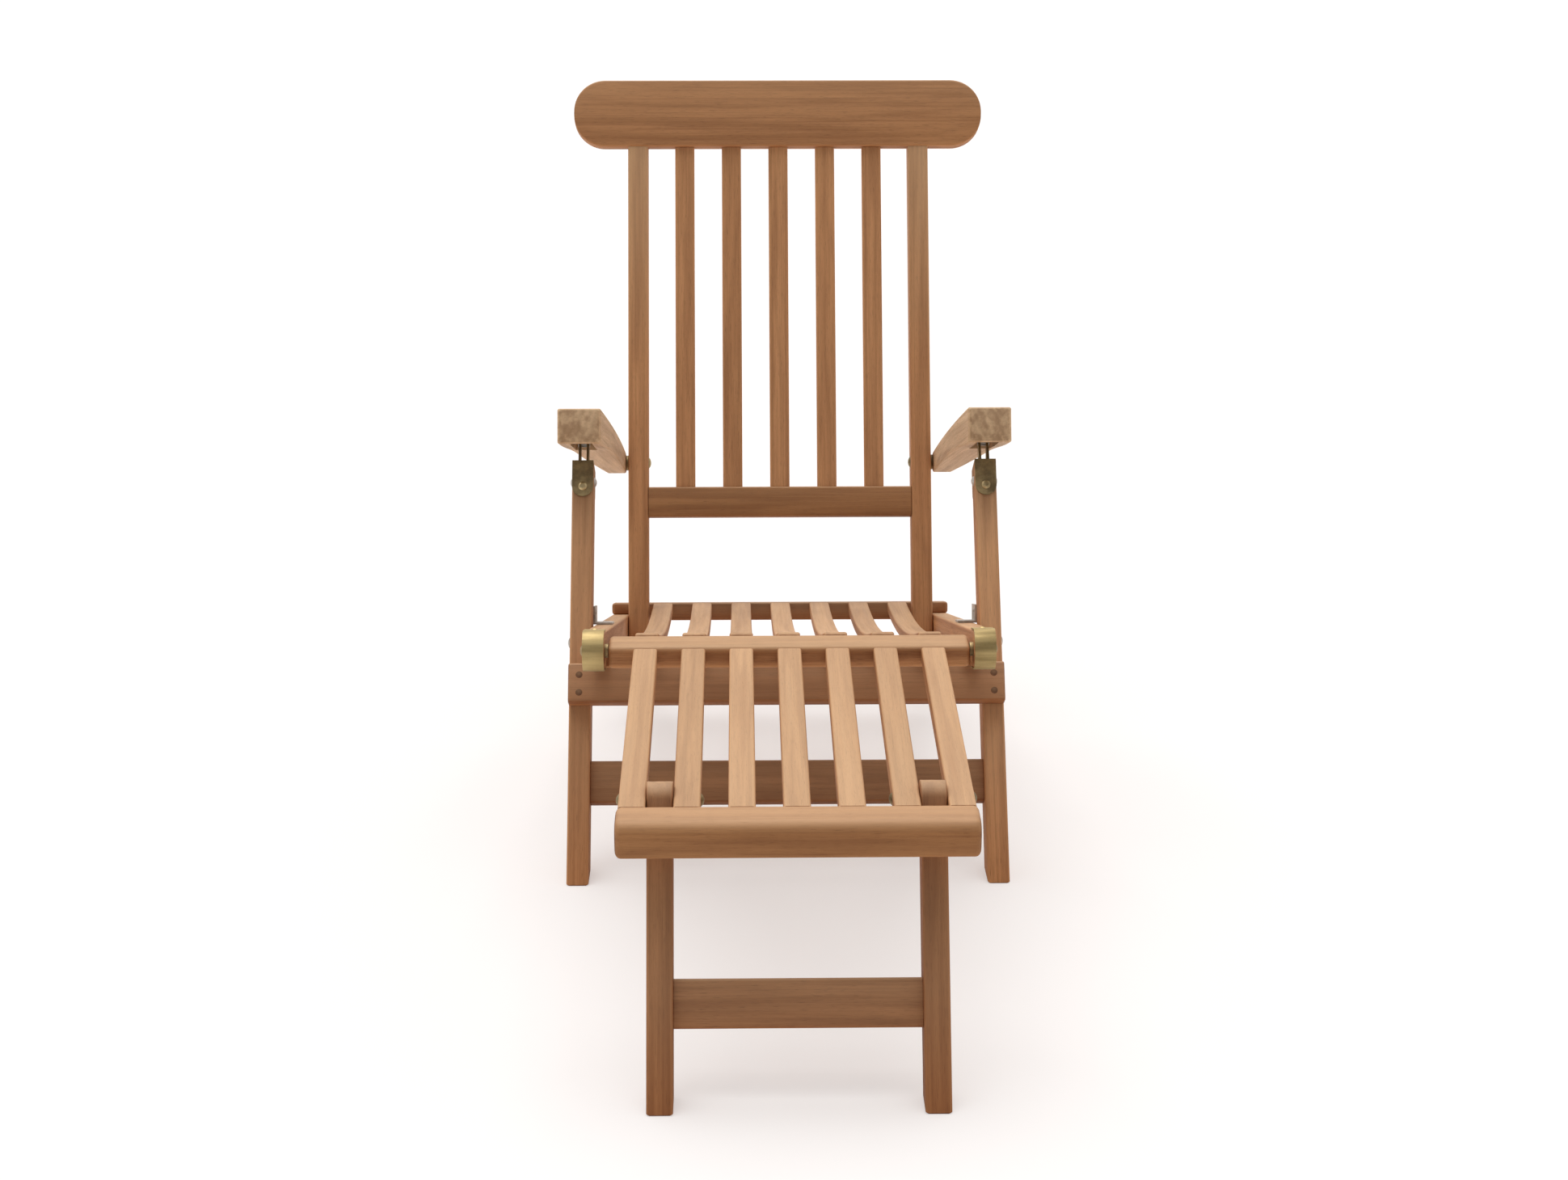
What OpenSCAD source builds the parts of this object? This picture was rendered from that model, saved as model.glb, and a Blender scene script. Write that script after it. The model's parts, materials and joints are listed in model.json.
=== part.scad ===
// Folding teak deck chair with a slatted seat, a reclining back and a hinged footrest.
// The origin is on the floor in the middle of the chair. +X is the chair's right side as
// it is seen from the front, the footrest points to -Y and +Z is up. Millimetres.

/* [Stance] */
// Height of the bolt on which the front legs cross the side rails
cross_h = 260; // [250:1:270]
// Angle at which the seat falls from front to back
seat_slope = 15; // [14:0.5:16]
// Lean of the front legs from the vertical
leg_lean = 33; // [31:0.5:34]
// Lean of the back from the vertical
back_lean = 21; // [20:0.5:23]
// Angle at which the footrest falls towards its front
footrest_fall = 4; // [3:0.5:5]
// Lean of the footrest's legs from the vertical
prop_lean = 25; // [23:0.5:26]

/* [Side rails] */
// Distance between the inner faces of the two side rails
rail_span = 448; // [446:1:460]
// Thickness of a side rail
rail_w = 26; // [24:1:30]
// Depth of a side rail
rail_d = 46; // [44:1:50]
// Crossing bolt to footrest hinge
rail_front = 240; // [230:1:260]
// Crossing bolt to back hinge
rail_back = 450; // [440:1:460]
// Crossing bolt to the start of the rear leg's bend
rail_straight = 548; // [545:1:570]
// Radius of the bend
bend_r = 600; // [500:10:700]
// Angle of the bend
bend_angle = 14; // [12:0.5:15]

/* [Seat] */
// Width of a seat or footrest slat
slat_w = 29; // [26:0.5:30]
// Gap between the outer slats and the back's stiles
slat_side_gap = 5; // [4:0.5:8]
// Thickness of a seat slat
seat_slat_t = 15; // [12:0.5:16]
// Height of the slats' front ends over the rails' axis
seat_low = 20; // [18:0.5:22]
// Depth of the dish in the seat
seat_dish = 17; // [15:0.5:20]
// Back hinge to the seat's rear bar
bar_setback = 45; // [43:0.5:50]
// Front to back size of the seat's front bar
front_bar_d = 40; // [35:1:45]
// Height of the seat's front bar at its rear edge
front_bar_h = 28; // [24:1:30]
// Front to back size of the seat's rear bar
rear_bar_d = 40; // [35:1:45]
// Height of the seat's rear bar
rear_bar_h = 26; // [24:0.5:28]
// Height of the rear bar over the side rails it is halved onto
rear_bar_rise = 17; // [15:0.5:18]
// Rounding of the rear bar's long edges
rear_bar_r = 4; // [2:0.5:6]

/* [Front legs] */
// Thickness of a front leg
post_w = 28; // [26:1:30]
// Depth of a front leg
post_d = 45; // [42:1:48]
// Crossing bolt to the top of the front leg
post_top = 242; // [238:1:244]
// Gap between a front leg and the side rail
post_gap = 2; // [1.9:0.1:2.4]
// Height of the crossbar along the front legs
crossbar_h = 52; // [46:1:56]
// Thickness of the crossbar
crossbar_t = 22; // [18:1:24]
// Height of the stretcher between the front legs
stretcher_h = 55; // [50:1:60]
// Thickness of the stretcher
stretcher_t = 20; // [18:1:24]
// Crossing bolt to the middle of the stretcher
stretcher_drop = 187; // [183:1:190]

/* [Back] */
// Width of a stile
stile_w = 29.5; // [27:0.5:30]
// Depth of a stile
stile_d = 40; // [36:1:42]
// Gap between a stile and the side rail
stile_gap = 1; // [0.8:0.1:1.4]
// Back hinge to the lower edge of the headboard
headboard_low = 721; // [719:1:740]
// Length of the headboard
headboard_l = 606; // [600:1:620]
// Height of the headboard
headboard_h = 100; // [98:1:110]
// Thickness of the headboard
headboard_t = 22; // [20:1:24]
// Radius of the headboard's ends
headboard_r = 46; // [30:1:48]
// Back hinge to the lower edge of the bottom rail
low_rail_low = 167; // [165:1:180]
// Height of the bottom rail
low_rail_h = 44; // [40:1:50]
// Thickness of the bottom rail
low_rail_t = 22; // [20:1:24]
// Width of a back slat
back_slat_w = 28.5; // [25:0.5:31]
// Thickness of a back slat
back_slat_t = 12; // [10:0.5:14]
// Headboard's top to the tops of the stiles behind it
stile_short = 12; // [8:1:16]

/* [Arms] */
// Back hinge to the arm's bolt
arm_bolt_up = 249; // [246:1:250]
// Catch pin to the arm's front end, with the back upright
arm_nose = 75; // [72:0.5:76]
// Thickness of the arm at its front
arm_front_t = 46; // [42:1:48]
// Thickness of the arm at its bolt
arm_rear_t = 30; // [28:1:32]
// Width of the arm at its front
arm_front_w = 57; // [50:1:60]
// Width of the arm at its bolt
arm_rear_w = 28; // [26:1:34]
// Gap between the arm and the stile
arm_gap = 4; // [3:0.5:5]
// Outward sweep of the arm's inner side from its bolt to its front
arm_sweep = 13; // [10:0.5:15]
// Outward bow of the arm's outer side
arm_bow = 5; // [3:0.5:8]
// Bolt to where the arm's underside starts to swell
arm_waist = 270; // [255:5:285]
// Radius of the front corners seen from above
arm_corner_r = 5; // [3:0.5:8]
// Rounding of the front edges seen from the side
arm_front_r = 4; // [3:0.5:6]
// Width of the slot under the arm
slot_w = 29; // [27:0.5:31]
// Depth of the slot
slot_h = 24; // [23:0.5:25]
// Wood left in front of the slot
slot_wall = 5; // [4:0.5:6]
// Catch pin to the slot's rear end, with the back upright
slot_behind = 58; // [54:1:62]

/* [Arm catch] */
// Crossing bolt to the catch pin
pin_up = 275; // [274:0.5:277]
// Diameter of the catch pin
pin_d = 7; // [6:0.5:7.5]
// Gap between the pin and the tips of the rack's teeth
pin_clear = 0.3; // [0.3:0.1:0.6]
// Height of the rack
rack_h = 13.2; // [12.8:0.1:13.4]
// Gap between the rack and the slot's walls
rack_fit = 1; // [0.5:0.1:1.4]
// Distance between the notches of the rack
notch_pitch = 14; // [12:0.5:16]
// Thickness of the rack's toothed web
rack_t = 5; // [4:0.5:5.5]
// Thickness of the rack's flange and of the sheet brass
sheet_t = 2; // [1.5:0.1:2.4]
// Thickness of an ear of the saddle
ear_t = 3; // [2.5:0.1:3.5]
// Gap between the two ears
ear_span = 7.6; // [7:0.1:8.4]
// Radius of an ear round the pin
ear_r = 6.5; // [6:0.1:7]
// Width of the ears at the saddle
ear_base = 24; // [20:1:28]
// Length of the saddle's tongues down the leg
tongue_l = 48; // [44:1:54]
// Top of the leg to the catch bolt
catch_bolt_drop = 21; // [19:0.5:24]

/* [Footrest] */
// Hinge to the pivot of the footrest's legs
prop_out = 431; // [428:1:436]
// Thickness of a footrest slat
foot_slat_t = 20; // [18:1:22]
// Front to back size of the footrest's rear bar
foot_rear_d = 44; // [40:1:46]
// Height of the footrest's rear bar
foot_rear_h = 28; // [26:1:30]
// Rounding of the footrest's rear bar
foot_rear_r = 6; // [3:0.5:8]
// Hinge to the front face of the footrest's rear bar
foot_rear_lead = 15; // [13:0.5:17]
// Gap in which the footrest's rear bar swings past the seat
foot_swing_gap = 12; // [10:0.5:14]
// Height of the footrest's top over its hinge
foot_top = 8; // [7:0.5:9]
// Front to back size of the footrest's front bar
foot_front_d = 46; // [42:1:50]
// Height of the footrest's front bar
foot_front_h = 40; // [36:1:40]
// Rounding of the front bar's top front edge
foot_front_r = 12; // [8:1:14]
// Rounding of the front bar's other edges
foot_edge_r = 4; // [2:0.5:6]
// Overhang of the front bar past the outer slats
foot_front_over = 2; // [1:0.5:5]
// Gap between the footrest and the side rails
foot_gap = 5; // [4:0.5:6]
// Depth of a footrest leg
prop_d = 40; // [36:1:40]
// Gap between the legs' round tops and the front bar
prop_front_gap = 19; // [17:0.5:22]
// Gap between a footrest leg and the slats beside it
prop_gap = 0.5; // [0.4:0.1:1]
// Height of the stretcher between the footrest's legs
prop_rail_h = 52; // [46:1:56]
// Thickness of that stretcher
prop_rail_t = 20; // [18:1:22]
// Pivot to the middle of that stretcher
prop_rail_drop = 214; // [205:1:220]

/* [Hardware] */
// Diameter of the pivot bolts
bolt_d = 8; // [7:0.5:9]
// Radial clearance of a bolt in its bore
bolt_clear = 0.05; // [0.03:0.01:0.08]
// Diameter of a bolt's domed head
head_d = 17; // [15:0.5:19]
// Height of a bolt's domed head
head_h = 3.5; // [2.5:0.1:4]
// Diameter of a nut and of a small bolt's head
nut_d = 14; // [12:0.5:15]
// Thickness of a nut
nut_h = 3.8; // [3.2:0.1:4.2]
// Length of bolt that shows past its nut
bolt_proud = 0.5; // [0.2:0.1:0.8]
// Footrest hinge bolt's length inside the rear bar
hinge_bolt_l = 40; // [34:1:44]
// Arm bolt's length inside the arm
arm_bolt_l = 20; // [18:1:22]
// Diameter of a small wood screw's head
screw_d = 8; // [6:0.5:9]
// Height of a small wood screw's head
screw_h = 1.5; // [1:0.1:2]
// Diameter of the saddle screws' heads
saddle_screw_d = 12; // [10:0.5:13]
// Diameter of the recess in those heads
recess_d = 6; // [5:0.5:7]
// Diameter of a washer or spacer
washer_d = 22; // [20:0.5:24]
// Length of a rail cap behind the footrest hinge
cap_l = 34; // [30:1:38]
// Diameter of the plugs over the crossbar's screws
plug_d = 9; // [8:0.5:10]
// Depth of those plugs
plug_l = 6; // [5:0.5:8]
// Length of a stop bracket along the rail
bracket_l = 44; // [40:1:48]
// Thickness of a stop bracket
bracket_t = 3; // [2.5:0.1:3.2]
// Height of a stop bracket
bracket_rise = 24; // [22:1:28]
// Distance from a stop bracket's end to the rail's inner face
bracket_inset = 3; // [2:0.5:5]

/* [Rounding] */
// Rounding of the boards' long edges
edge_r = 3; // [1.5:0.5:4]

/* [Hidden] */
SLATS = 7;
BACK_SLATS = 5;
RACK_NOTCHES = 6;
SIDES = ["left", "right"];
$fn = 48;
TEAK = "#b07a4e";
TEAK_END = "#8a5b38";
BRASS = "#b99a5b";
STEEL = "#b9b9b6";
eps = 0.01;
room = 8 * cross_h;    // more than the chair is wide, and more than half its length
leg_stock = 2 * cross_h;    // length of the legs before they are cut at the floor
seat_gap = 0.3;   // running gap between pieces that only pass each other
arc_fn = 360;     // segments of the long arcs

// Stations across the chair, right side
rail_in = rail_span / 2;
rail_out = rail_in + rail_w;
post_in = rail_out + post_gap;
post_out = post_in + post_w;
post_mid = (post_in + post_out) / 2;
stile_out = rail_in - stile_gap;
stile_in = stile_out - stile_w;
arm_in = stile_out + arm_gap;
slats_out = stile_in - slat_side_gap;
slat_pitch = (2 * slats_out - slat_w) / (SLATS - 1);
back_slat_pitch = (stile_in + stile_out) / (BACK_SLATS + 1);
prop_in = slat_pitch * 2 + slat_w / 2 + prop_gap;
prop_out_x = slat_pitch * 3 - slat_w / 2 - prop_gap;

// Stations in the side view, as [y, z] with the crossing bolt over y = 0
function turned(p, a) = [p.x * cos(a) - p.y * sin(a), p.x * sin(a) + p.y * cos(a)];
prop_sink = 2;    // depth of the footrest legs' pivot under the hinge's plane
cross_pt = [0, cross_h];
hinge_pt = cross_pt + turned([-rail_front, 0], -seat_slope);
back_pt = cross_pt + turned([rail_back, 0], -seat_slope);
arm_pt = back_pt + turned([0, arm_bolt_up], -back_lean);
pin_pt = cross_pt + turned([0, pin_up], -leg_lean);
prop_pt = hinge_pt + turned([-prop_out, -prop_sink], footrest_fall);
bend_pt = cross_pt + turned([rail_straight, 0], -seat_slope);
rear_slope = seat_slope + bend_angle;
bend_end = bend_pt + bend_r * [sin(rear_slope) - sin(seat_slope), cos(rear_slope) - cos(seat_slope)];
rear_foot_y = bend_end.x + bend_end.y / tan(rear_slope) + rail_d / 2 / sin(rear_slope);
prop_foot_y = prop_pt.x - prop_pt.y * tan(prop_lean) - prop_d / 2 / cos(prop_lean);
shift_y = -(rear_foot_y + prop_foot_y) / 2;

// Arm: its axis passes over the pin by the height that the teeth need
slot_roof = slot_h - arm_front_t / 2;
tooth_low = slot_roof - rack_h;
pin_low = tooth_low - pin_clear - pin_d / 2;
arm_to_pin = norm(pin_pt - arm_pt);
pin_along = sqrt(arm_to_pin * arm_to_pin - pin_low * pin_low);
arm_slope = atan2(pin_pt.y - arm_pt.y, arm_pt.x - pin_pt.x) + asin(-pin_low / arm_to_pin);
arm_reach = pin_along + arm_nose;

// Seat: chord and radius of the dish, in the rails' own frame
bar_face = rail_back + bar_setback;
seat_lead = -rail_front + foot_rear_d - foot_rear_lead + foot_swing_gap;
rail_top = rail_d / 2;
seat_high = rail_top + rear_bar_rise;
chord = norm([bar_face - seat_lead, seat_high - seat_low]);
dish_r = (chord * chord / 4 + seat_dish * seat_dish) / (2 * seat_dish);
chord_tilt = atan2(seat_high - seat_low, bar_face - seat_lead);
dish_pt = [(bar_face + seat_lead) / 2, (seat_high + seat_low) / 2]
    + turned([0, dish_r - seat_dish], chord_tilt);

// Footrest, in its own frame: the hinge is at y = 0, z = 0
foot_front_back = -prop_out - prop_d / 2 - prop_front_gap;

// Frames
module in_seat() translate([0, shift_y, cross_h]) rotate([-seat_slope, 0, 0]) children();
module in_legs() translate([0, shift_y, cross_h]) rotate([-leg_lean, 0, 0]) children();
module in_back() translate([0, shift_y + back_pt.x, back_pt.y]) rotate([-back_lean, 0, 0]) children();
module in_arm() translate([0, shift_y + arm_pt.x, arm_pt.y]) rotate([-arm_slope, 0, 0]) children();
module in_footrest() {
    translate([0, shift_y + hinge_pt.x, hinge_pt.y]) rotate([footrest_fall, 0, 0]) children();
}
module in_props() {
    translate([0, shift_y + prop_pt.x, prop_pt.y]) rotate([-prop_lean, 0, 0]) children();
}

// Shapes
module on_side(side) mirror([side == "left" ? 1 : 0, 0, 0]) children();
module both_sides() for (side = SIDES) on_side(side) children();
module below_floor() translate([-room / 2, -room, -room]) cube([room, 2 * room, room]);
module side_plate(x_from, x_to) {
    translate([x_from, 0, 0]) rotate([90, 0, 90]) linear_extrude(x_to - x_from) children();
}
module rod(x_from, x_to, d) translate([x_from, 0, 0]) rotate([0, 90, 0]) cylinder(h = x_to - x_from, d = d);
module bore(x_from, x_to, d = bolt_d) rod(x_from - 1, x_to + 1, d + 2 * bolt_clear);
module ring(x_from, x_to, d_out, d_in) {
    difference() {
        rod(x_from, x_to, d_out);
        rod(x_from - 1, x_to + 1, d_in);
    }
}
module round_rect(w, h, r) {
    square([w - 2 * r, h], center = true);
    square([w, h - 2 * r], center = true);
    for (x = [-1, 1], y = [-1, 1]) translate([x * (w / 2 - r), y * (h / 2 - r)]) circle(r);
}
// Domed head on the plane x = 0, rising to +x
module dome(d = head_d, h = head_h) {
    big = (d * d / 4 + h * h) / (2 * h);
    rotate([0, 90, 0]) rotate_extrude() intersection() {
        translate([0, h - big]) circle(big);
        square([d / 2 + 1, h]);
    }
}
// Bolt along X with a domed head on its outer end
module headed_bolt(x_from, x_to, d = bolt_d, head = head_d) {
    rod(x_from, x_to + eps, d);
    translate([x_to, 0, 0]) dome(head);
}
// Rectangle whose upper front corner is rounder than the other three
module lead_rect(w, h, r, lead_r) {
    translate([lead_r - w / 2, r - h / 2]) square([w - lead_r, h - 2 * r]);
    translate([lead_r - w / 2, -h / 2]) square([w - lead_r - r, h]);
    translate([-w / 2, r - h / 2]) square([w - r, h - lead_r - r]);
    translate([r - w / 2, -h / 2]) square([w - 2 * r, h - lead_r]);
    translate([lead_r - w / 2, h / 2 - lead_r]) circle(lead_r);
    translate([r - w / 2, r - h / 2]) circle(r);
    for (y = [-1, 1]) translate([w / 2 - r, y * (h / 2 - r)]) circle(r);
}
// Board of width w along X and height h, lying along Y from y_from to y_to
module long_board(w, h, y_from, y_to, r = edge_r) {
    translate([0, y_to, 0]) rotate([90, 0, 0]) linear_extrude(y_to - y_from) round_rect(w, h, r);
}

// Side rails, which run down to the floor as the rear legs
bend_steps = 10;
nose_steps = 24;
function bend_side(r) = [
    for (k = [0:bend_steps]) let (a = bend_angle * k / bend_steps)
        [rail_straight + r * sin(a), r * cos(a) - bend_r]
];
module rail_outline() {
    upper = bend_side(bend_r + rail_d / 2);
    lower = bend_side(bend_r - rail_d / 2);
    leg = leg_stock * [cos(bend_angle), -sin(bend_angle)];
    nose = [
        for (k = [0:nose_steps]) let (a = 180 * k / nose_steps)
            [-rail_front - rail_d / 2 * sin(a), -rail_d / 2 * cos(a)]
    ];
    polygon(concat(
        nose, upper, [upper[bend_steps] + leg, lower[bend_steps] + leg],
        [for (k = [bend_steps:-1:0]) lower[k]]
    ));
}
module rail(side) {
    color(TEAK) difference() {
        in_seat() on_side(side) difference() {
            side_plate(rail_in, rail_out) rail_outline();
            for (y = [-rail_front, 0, rail_back]) translate([0, y, 0]) bore(rail_in, rail_out);
        }
        below_floor();
    }
}

// Seat
module seat_front_bar() {
    color(TEAK) in_seat() difference() {
        side_plate(-rail_in, rail_in) {
            translate([seat_lead, seat_low - seat_slat_t - front_bar_h]) square([front_bar_d, front_bar_h + seat_slat_t]);
        }
        translate([0, dish_pt.x, dish_pt.y]) rod(-rail_span, rail_span, 2 * (dish_r + seat_slat_t), $fn = arc_fn);
    }
}
module seat_rear_bar() {
    color(TEAK_END) in_seat() difference() {
        translate([0, bar_face + rear_bar_d / 2, seat_high - rear_bar_h / 2]) {
            side_plate(-rail_out, rail_out) round_rect(rear_bar_d, rear_bar_h, rear_bar_r);
        }
        both_sides() translate([rail_in, bar_face - 1, rail_top - rear_bar_h]) {
            cube([rail_span, rear_bar_d + 2, rear_bar_h]);
        }
    }
}
module seat_slat(i) {
    color(TEAK) in_seat() translate([(i - (SLATS + 1) / 2) * slat_pitch, 0, 0]) {
        side_plate(-slat_w / 2, slat_w / 2) intersection() {
            translate(dish_pt) difference() {
                circle(dish_r + seat_slat_t, $fn = arc_fn);
                circle(dish_r, $fn = arc_fn);
            }
            translate([seat_lead, -rail_d]) square([bar_face - seat_lead, 2 * rail_d]);
        }
    }
}

// Brass caps round the rails' front ends
cap_back = -rail_front + cap_l;
module cap_outline(grow) {
    translate([-rail_front, 0]) circle(rail_d / 2 + grow);
    translate([-rail_front, -rail_d / 2 - grow]) square([rail_front + cap_back, rail_d + 2 * grow]);
}
module rail_cap(side) {
    color(BRASS) in_seat() on_side(side) side_plate(rail_in, rail_out) difference() {
        cap_outline(sheet_t);
        cap_outline(0);
        translate([cap_back, -rail_d]) square(2 * rail_d);
    }
}
module rail_cap_screws() {
    color(BRASS) in_seat() both_sides() for (up = [0, 180]) {
        translate([(rail_in + rail_out) / 2, cap_back - 1.5 * screw_d, 0]) rotate([up, 0, 0]) {
            translate([0, 0, rail_top + sheet_t]) rotate([0, -90, 0]) dome(screw_d, screw_h);
        }
    }
}
module footrest_hinge_bolts() {
    color(BRASS) in_seat() both_sides() translate([0, -rail_front, 0]) {
        headed_bolt(rail_in - foot_gap - hinge_bolt_l, rail_out);
        ring(rail_in - foot_gap + seat_gap, rail_in, head_d, bolt_d);
    }
}

// Back
module back_pivot_bolts() {
    color(BRASS) in_seat() both_sides() translate([0, rail_back, 0]) {
        headed_bolt(stile_in - nut_h - bolt_proud, rail_out);
        rod(stile_in - nut_h, stile_in - seat_gap, nut_d);
    }
}
module stile(side) {
    color(TEAK) in_back() on_side(side) difference() {
        union() {
            translate([(stile_in + stile_out) / 2, 0, 0]) linear_extrude(headboard_low + headboard_h - stile_short) {
                round_rect(stile_w, stile_d, edge_r);
            }
            rod(stile_in, stile_out, stile_d);
        }
        bore(stile_in, stile_out);
        translate([0, 0, arm_bolt_up]) bore(stile_in, stile_out);
        translate([0, -stile_d, headboard_low]) cube([rail_span, stile_d, 2 * headboard_h]);
    }
}
module headboard() {
    color(TEAK) in_back() translate([0, 0, headboard_low + headboard_h / 2]) {
        rotate([90, 0, 0]) linear_extrude(headboard_t) round_rect(headboard_l, headboard_h, headboard_r);
    }
}
low_rail_mid = -stile_d / 2 + low_rail_t / 2;
module back_bottom_rail() {
    color(TEAK) in_back() translate([0, low_rail_mid, low_rail_low + low_rail_h / 2]) {
        side_plate(-stile_in, stile_in) round_rect(low_rail_t, low_rail_h, edge_r);
    }
}
module back_slat(i) {
    bottom = low_rail_low + low_rail_h;
    color(TEAK) in_back() translate([(i - (BACK_SLATS + 1) / 2) * back_slat_pitch, low_rail_mid, bottom]) {
        linear_extrude(headboard_low - bottom) round_rect(back_slat_w, back_slat_t, edge_r);
    }
}

// Arms
function ease(t) = t < 0 ? 0 : t > 1 ? 1 : t * t * (3 - 2 * t);
function mix(a, b, t) = a + (b - a) * t;
arm_steps = 24;
module arm_side() {
    nose = 2.25 * arm_front_r;
    run = arm_reach - nose / 2;
    circle(arm_rear_t / 2);
    polygon(concat(
        [[0, arm_rear_t / 2], [-run, arm_front_t / 2]],
        [for (k = [arm_steps:-1:0]) let (y = run * k / arm_steps)
            [-y, -mix(arm_rear_t / 2, arm_front_t / 2, ease((y - arm_waist) / (run - arm_waist)))]]
    ));
    translate([-run, 0]) round_rect(nose, arm_front_t, arm_front_r);
}
function inner_side(t) = arm_in + arm_sweep * t * t;
function outer_side(t) = arm_in + mix(arm_rear_w, arm_sweep + arm_front_w, t) + arm_bow * sin(180 * t);
module arm_plan() {
    run = arm_reach - arm_corner_r;
    centre = arm_front_w - 2 * arm_corner_r;
    polygon(concat(
        [[inner_side(0), arm_rear_t]],
        [for (k = [0:arm_steps]) [inner_side(k / arm_steps), -run * k / arm_steps]],
        [for (k = [arm_steps:-1:0]) [outer_side(k / arm_steps), -run * k / arm_steps]],
        [[outer_side(0), arm_rear_t]]
    ));
    translate([arm_in + arm_sweep + arm_front_w / 2, -run]) {
        square([centre, 2 * arm_corner_r], center = true);
        for (x = [-1, 1]) translate([x * centre / 2, 0]) circle(arm_corner_r);
    }
}
slot_front = arm_reach - slot_wall;
slot_l = arm_nose - slot_wall + slot_behind;
module slot_space() {
    translate([post_mid - slot_w / 2, -slot_front, -arm_front_t]) {
        cube([slot_w, slot_l, arm_front_t / 2 + slot_h]);
    }
}
module arm(side) {
    color(TEAK) in_arm() on_side(side) difference() {
        intersection() {
            side_plate(arm_in, arm_in + 2 * arm_front_w) arm_side();
            translate([0, 0, -arm_front_t]) linear_extrude(2 * arm_front_t) arm_plan();
        }
        bore(arm_in, arm_in + arm_bolt_l);
        slot_space();
    }
}
module arm_pivot_bolts() {
    color(BRASS) in_back() translate([0, 0, arm_bolt_up]) both_sides() {
        rod(stile_in - eps, arm_in + arm_bolt_l, bolt_d);
        translate([stile_in, 0, 0]) mirror([1, 0, 0]) dome();
    }
}
module arm_spacers() {
    color(BRASS) in_back() translate([0, 0, arm_bolt_up]) both_sides() {
        ring(stile_out + seat_gap, arm_in - seat_gap, washer_d, bolt_d);
    }
}

// Toothed rack in each arm's slot
rack_front = slot_front - 4 * rack_fit;
rack_l = slot_l - 8 * rack_fit;
module rack(side) {
    color(BRASS) in_arm() on_side(side) {
        translate([post_mid - slot_w / 2 + rack_fit, -rack_front, slot_roof - sheet_t]) {
            cube([slot_w - 2 * rack_fit, rack_l, sheet_t]);
        }
        side_plate(post_mid - rack_t / 2, post_mid + rack_t / 2) difference() {
            translate([-rack_front, tooth_low]) square([rack_l, rack_h - sheet_t + eps]);
            for (k = [0:RACK_NOTCHES - 1]) {
                translate([-pin_along + (2 - k) * notch_pitch, tooth_low]) circle(d = pin_d + 2 * pin_clear);
            }
        }
    }
}

// Front legs and what they carry
module front_leg(side) {
    color(TEAK) difference() {
        in_legs() on_side(side) difference() {
            translate([post_mid, 0, -leg_stock]) linear_extrude(leg_stock + post_top) {
                round_rect(post_w, post_d, edge_r);
            }
            bore(post_in, post_out);
            translate([0, 0, catch_bolt_up]) bore(post_in, post_out);
        }
        below_floor();
    }
}
// The crossbar's top front edge lies just under the rails' lower face
lean_diff = leg_lean - seat_slope;
crossbar_front = -post_d / 2 - crossbar_t;
crossbar_top = (crossbar_front * sin(lean_diff) - rail_d / 2) / cos(lean_diff) - seat_gap;
plug_rise = [crossbar_h * 0.25, crossbar_h * 0.7];
module crossbar() {
    color(TEAK) in_legs() difference() {
        translate([0, crossbar_front + crossbar_t / 2, crossbar_top - crossbar_h / 2]) {
            side_plate(-post_out, post_out) round_rect(crossbar_t, crossbar_h, edge_r);
        }
        plug_places() translate([0, -1, 0]) rotate([-90, 0, 0]) cylinder(h = plug_l + 1, d = plug_d);
    }
}
module plug_places() {
    both_sides() for (rise = plug_rise) {
        translate([post_mid, crossbar_front, crossbar_top - crossbar_h + rise]) children();
    }
}
module crossbar_plugs() {
    color(TEAK_END) in_legs() plug_places() rotate([-90, 0, 0]) cylinder(h = plug_l, d = plug_d);
}
module leg_stretcher() {
    color(TEAK) in_legs() translate([0, 0, -stretcher_drop]) {
        side_plate(-post_in, post_in) round_rect(stretcher_t, stretcher_h, edge_r);
    }
}

// Brass saddle over each front leg's top, with the two ears that hold the catch pin
catch_bolt_up = post_top - catch_bolt_drop;
module saddle(side) {
    color(BRASS) in_legs() on_side(side) {
        translate([post_in, -post_d / 2 - sheet_t, post_top]) cube([post_w, post_d + 2 * sheet_t, sheet_t]);
        for (face = [-post_d / 2 - sheet_t, post_d / 2]) translate([post_mid, face, post_top + eps]) {
            rotate([-90, 0, 0]) linear_extrude(sheet_t) {
                translate([-post_w / 2, 0]) square([post_w, tongue_l - post_w / 2]);
                translate([0, tongue_l - post_w / 2]) circle(d = post_w);
            }
        }
        for (x = [-1, 1]) {
            middle = post_mid + x * (ear_span + ear_t) / 2;
            difference() {
                side_plate(middle - ear_t / 2, middle + ear_t / 2) {
                    translate([0, pin_up]) circle(ear_r);
                    polygon([
                        [-ear_base / 2, post_top + sheet_t / 2], [ear_base / 2, post_top + sheet_t / 2],
                        [ear_r, pin_up], [-ear_r, pin_up]
                    ]);
                }
                translate([0, 0, pin_up]) rod(middle - ear_t, middle + ear_t, pin_d);
            }
        }
    }
}
module saddle_screws() {
    color(BRASS) in_legs() both_sides() for (turn = [0, 180]) translate([post_mid, 0, 0]) {
        rotate([0, 0, turn]) translate([0, -post_d / 2 - sheet_t, post_top - tongue_l + post_w / 2]) {
            rotate([0, 0, -90]) difference() {
                dome(saddle_screw_d, 2 * screw_h);
                rod(screw_h, 3 * screw_h, recess_d);
            }
        }
    }
}
module catch_pins() {
    color(STEEL) in_legs() both_sides() translate([0, 0, pin_up]) {
        reach = ear_span / 2 + ear_t + 1;
        rod(post_mid - reach, post_mid + reach, pin_d);
    }
}
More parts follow.
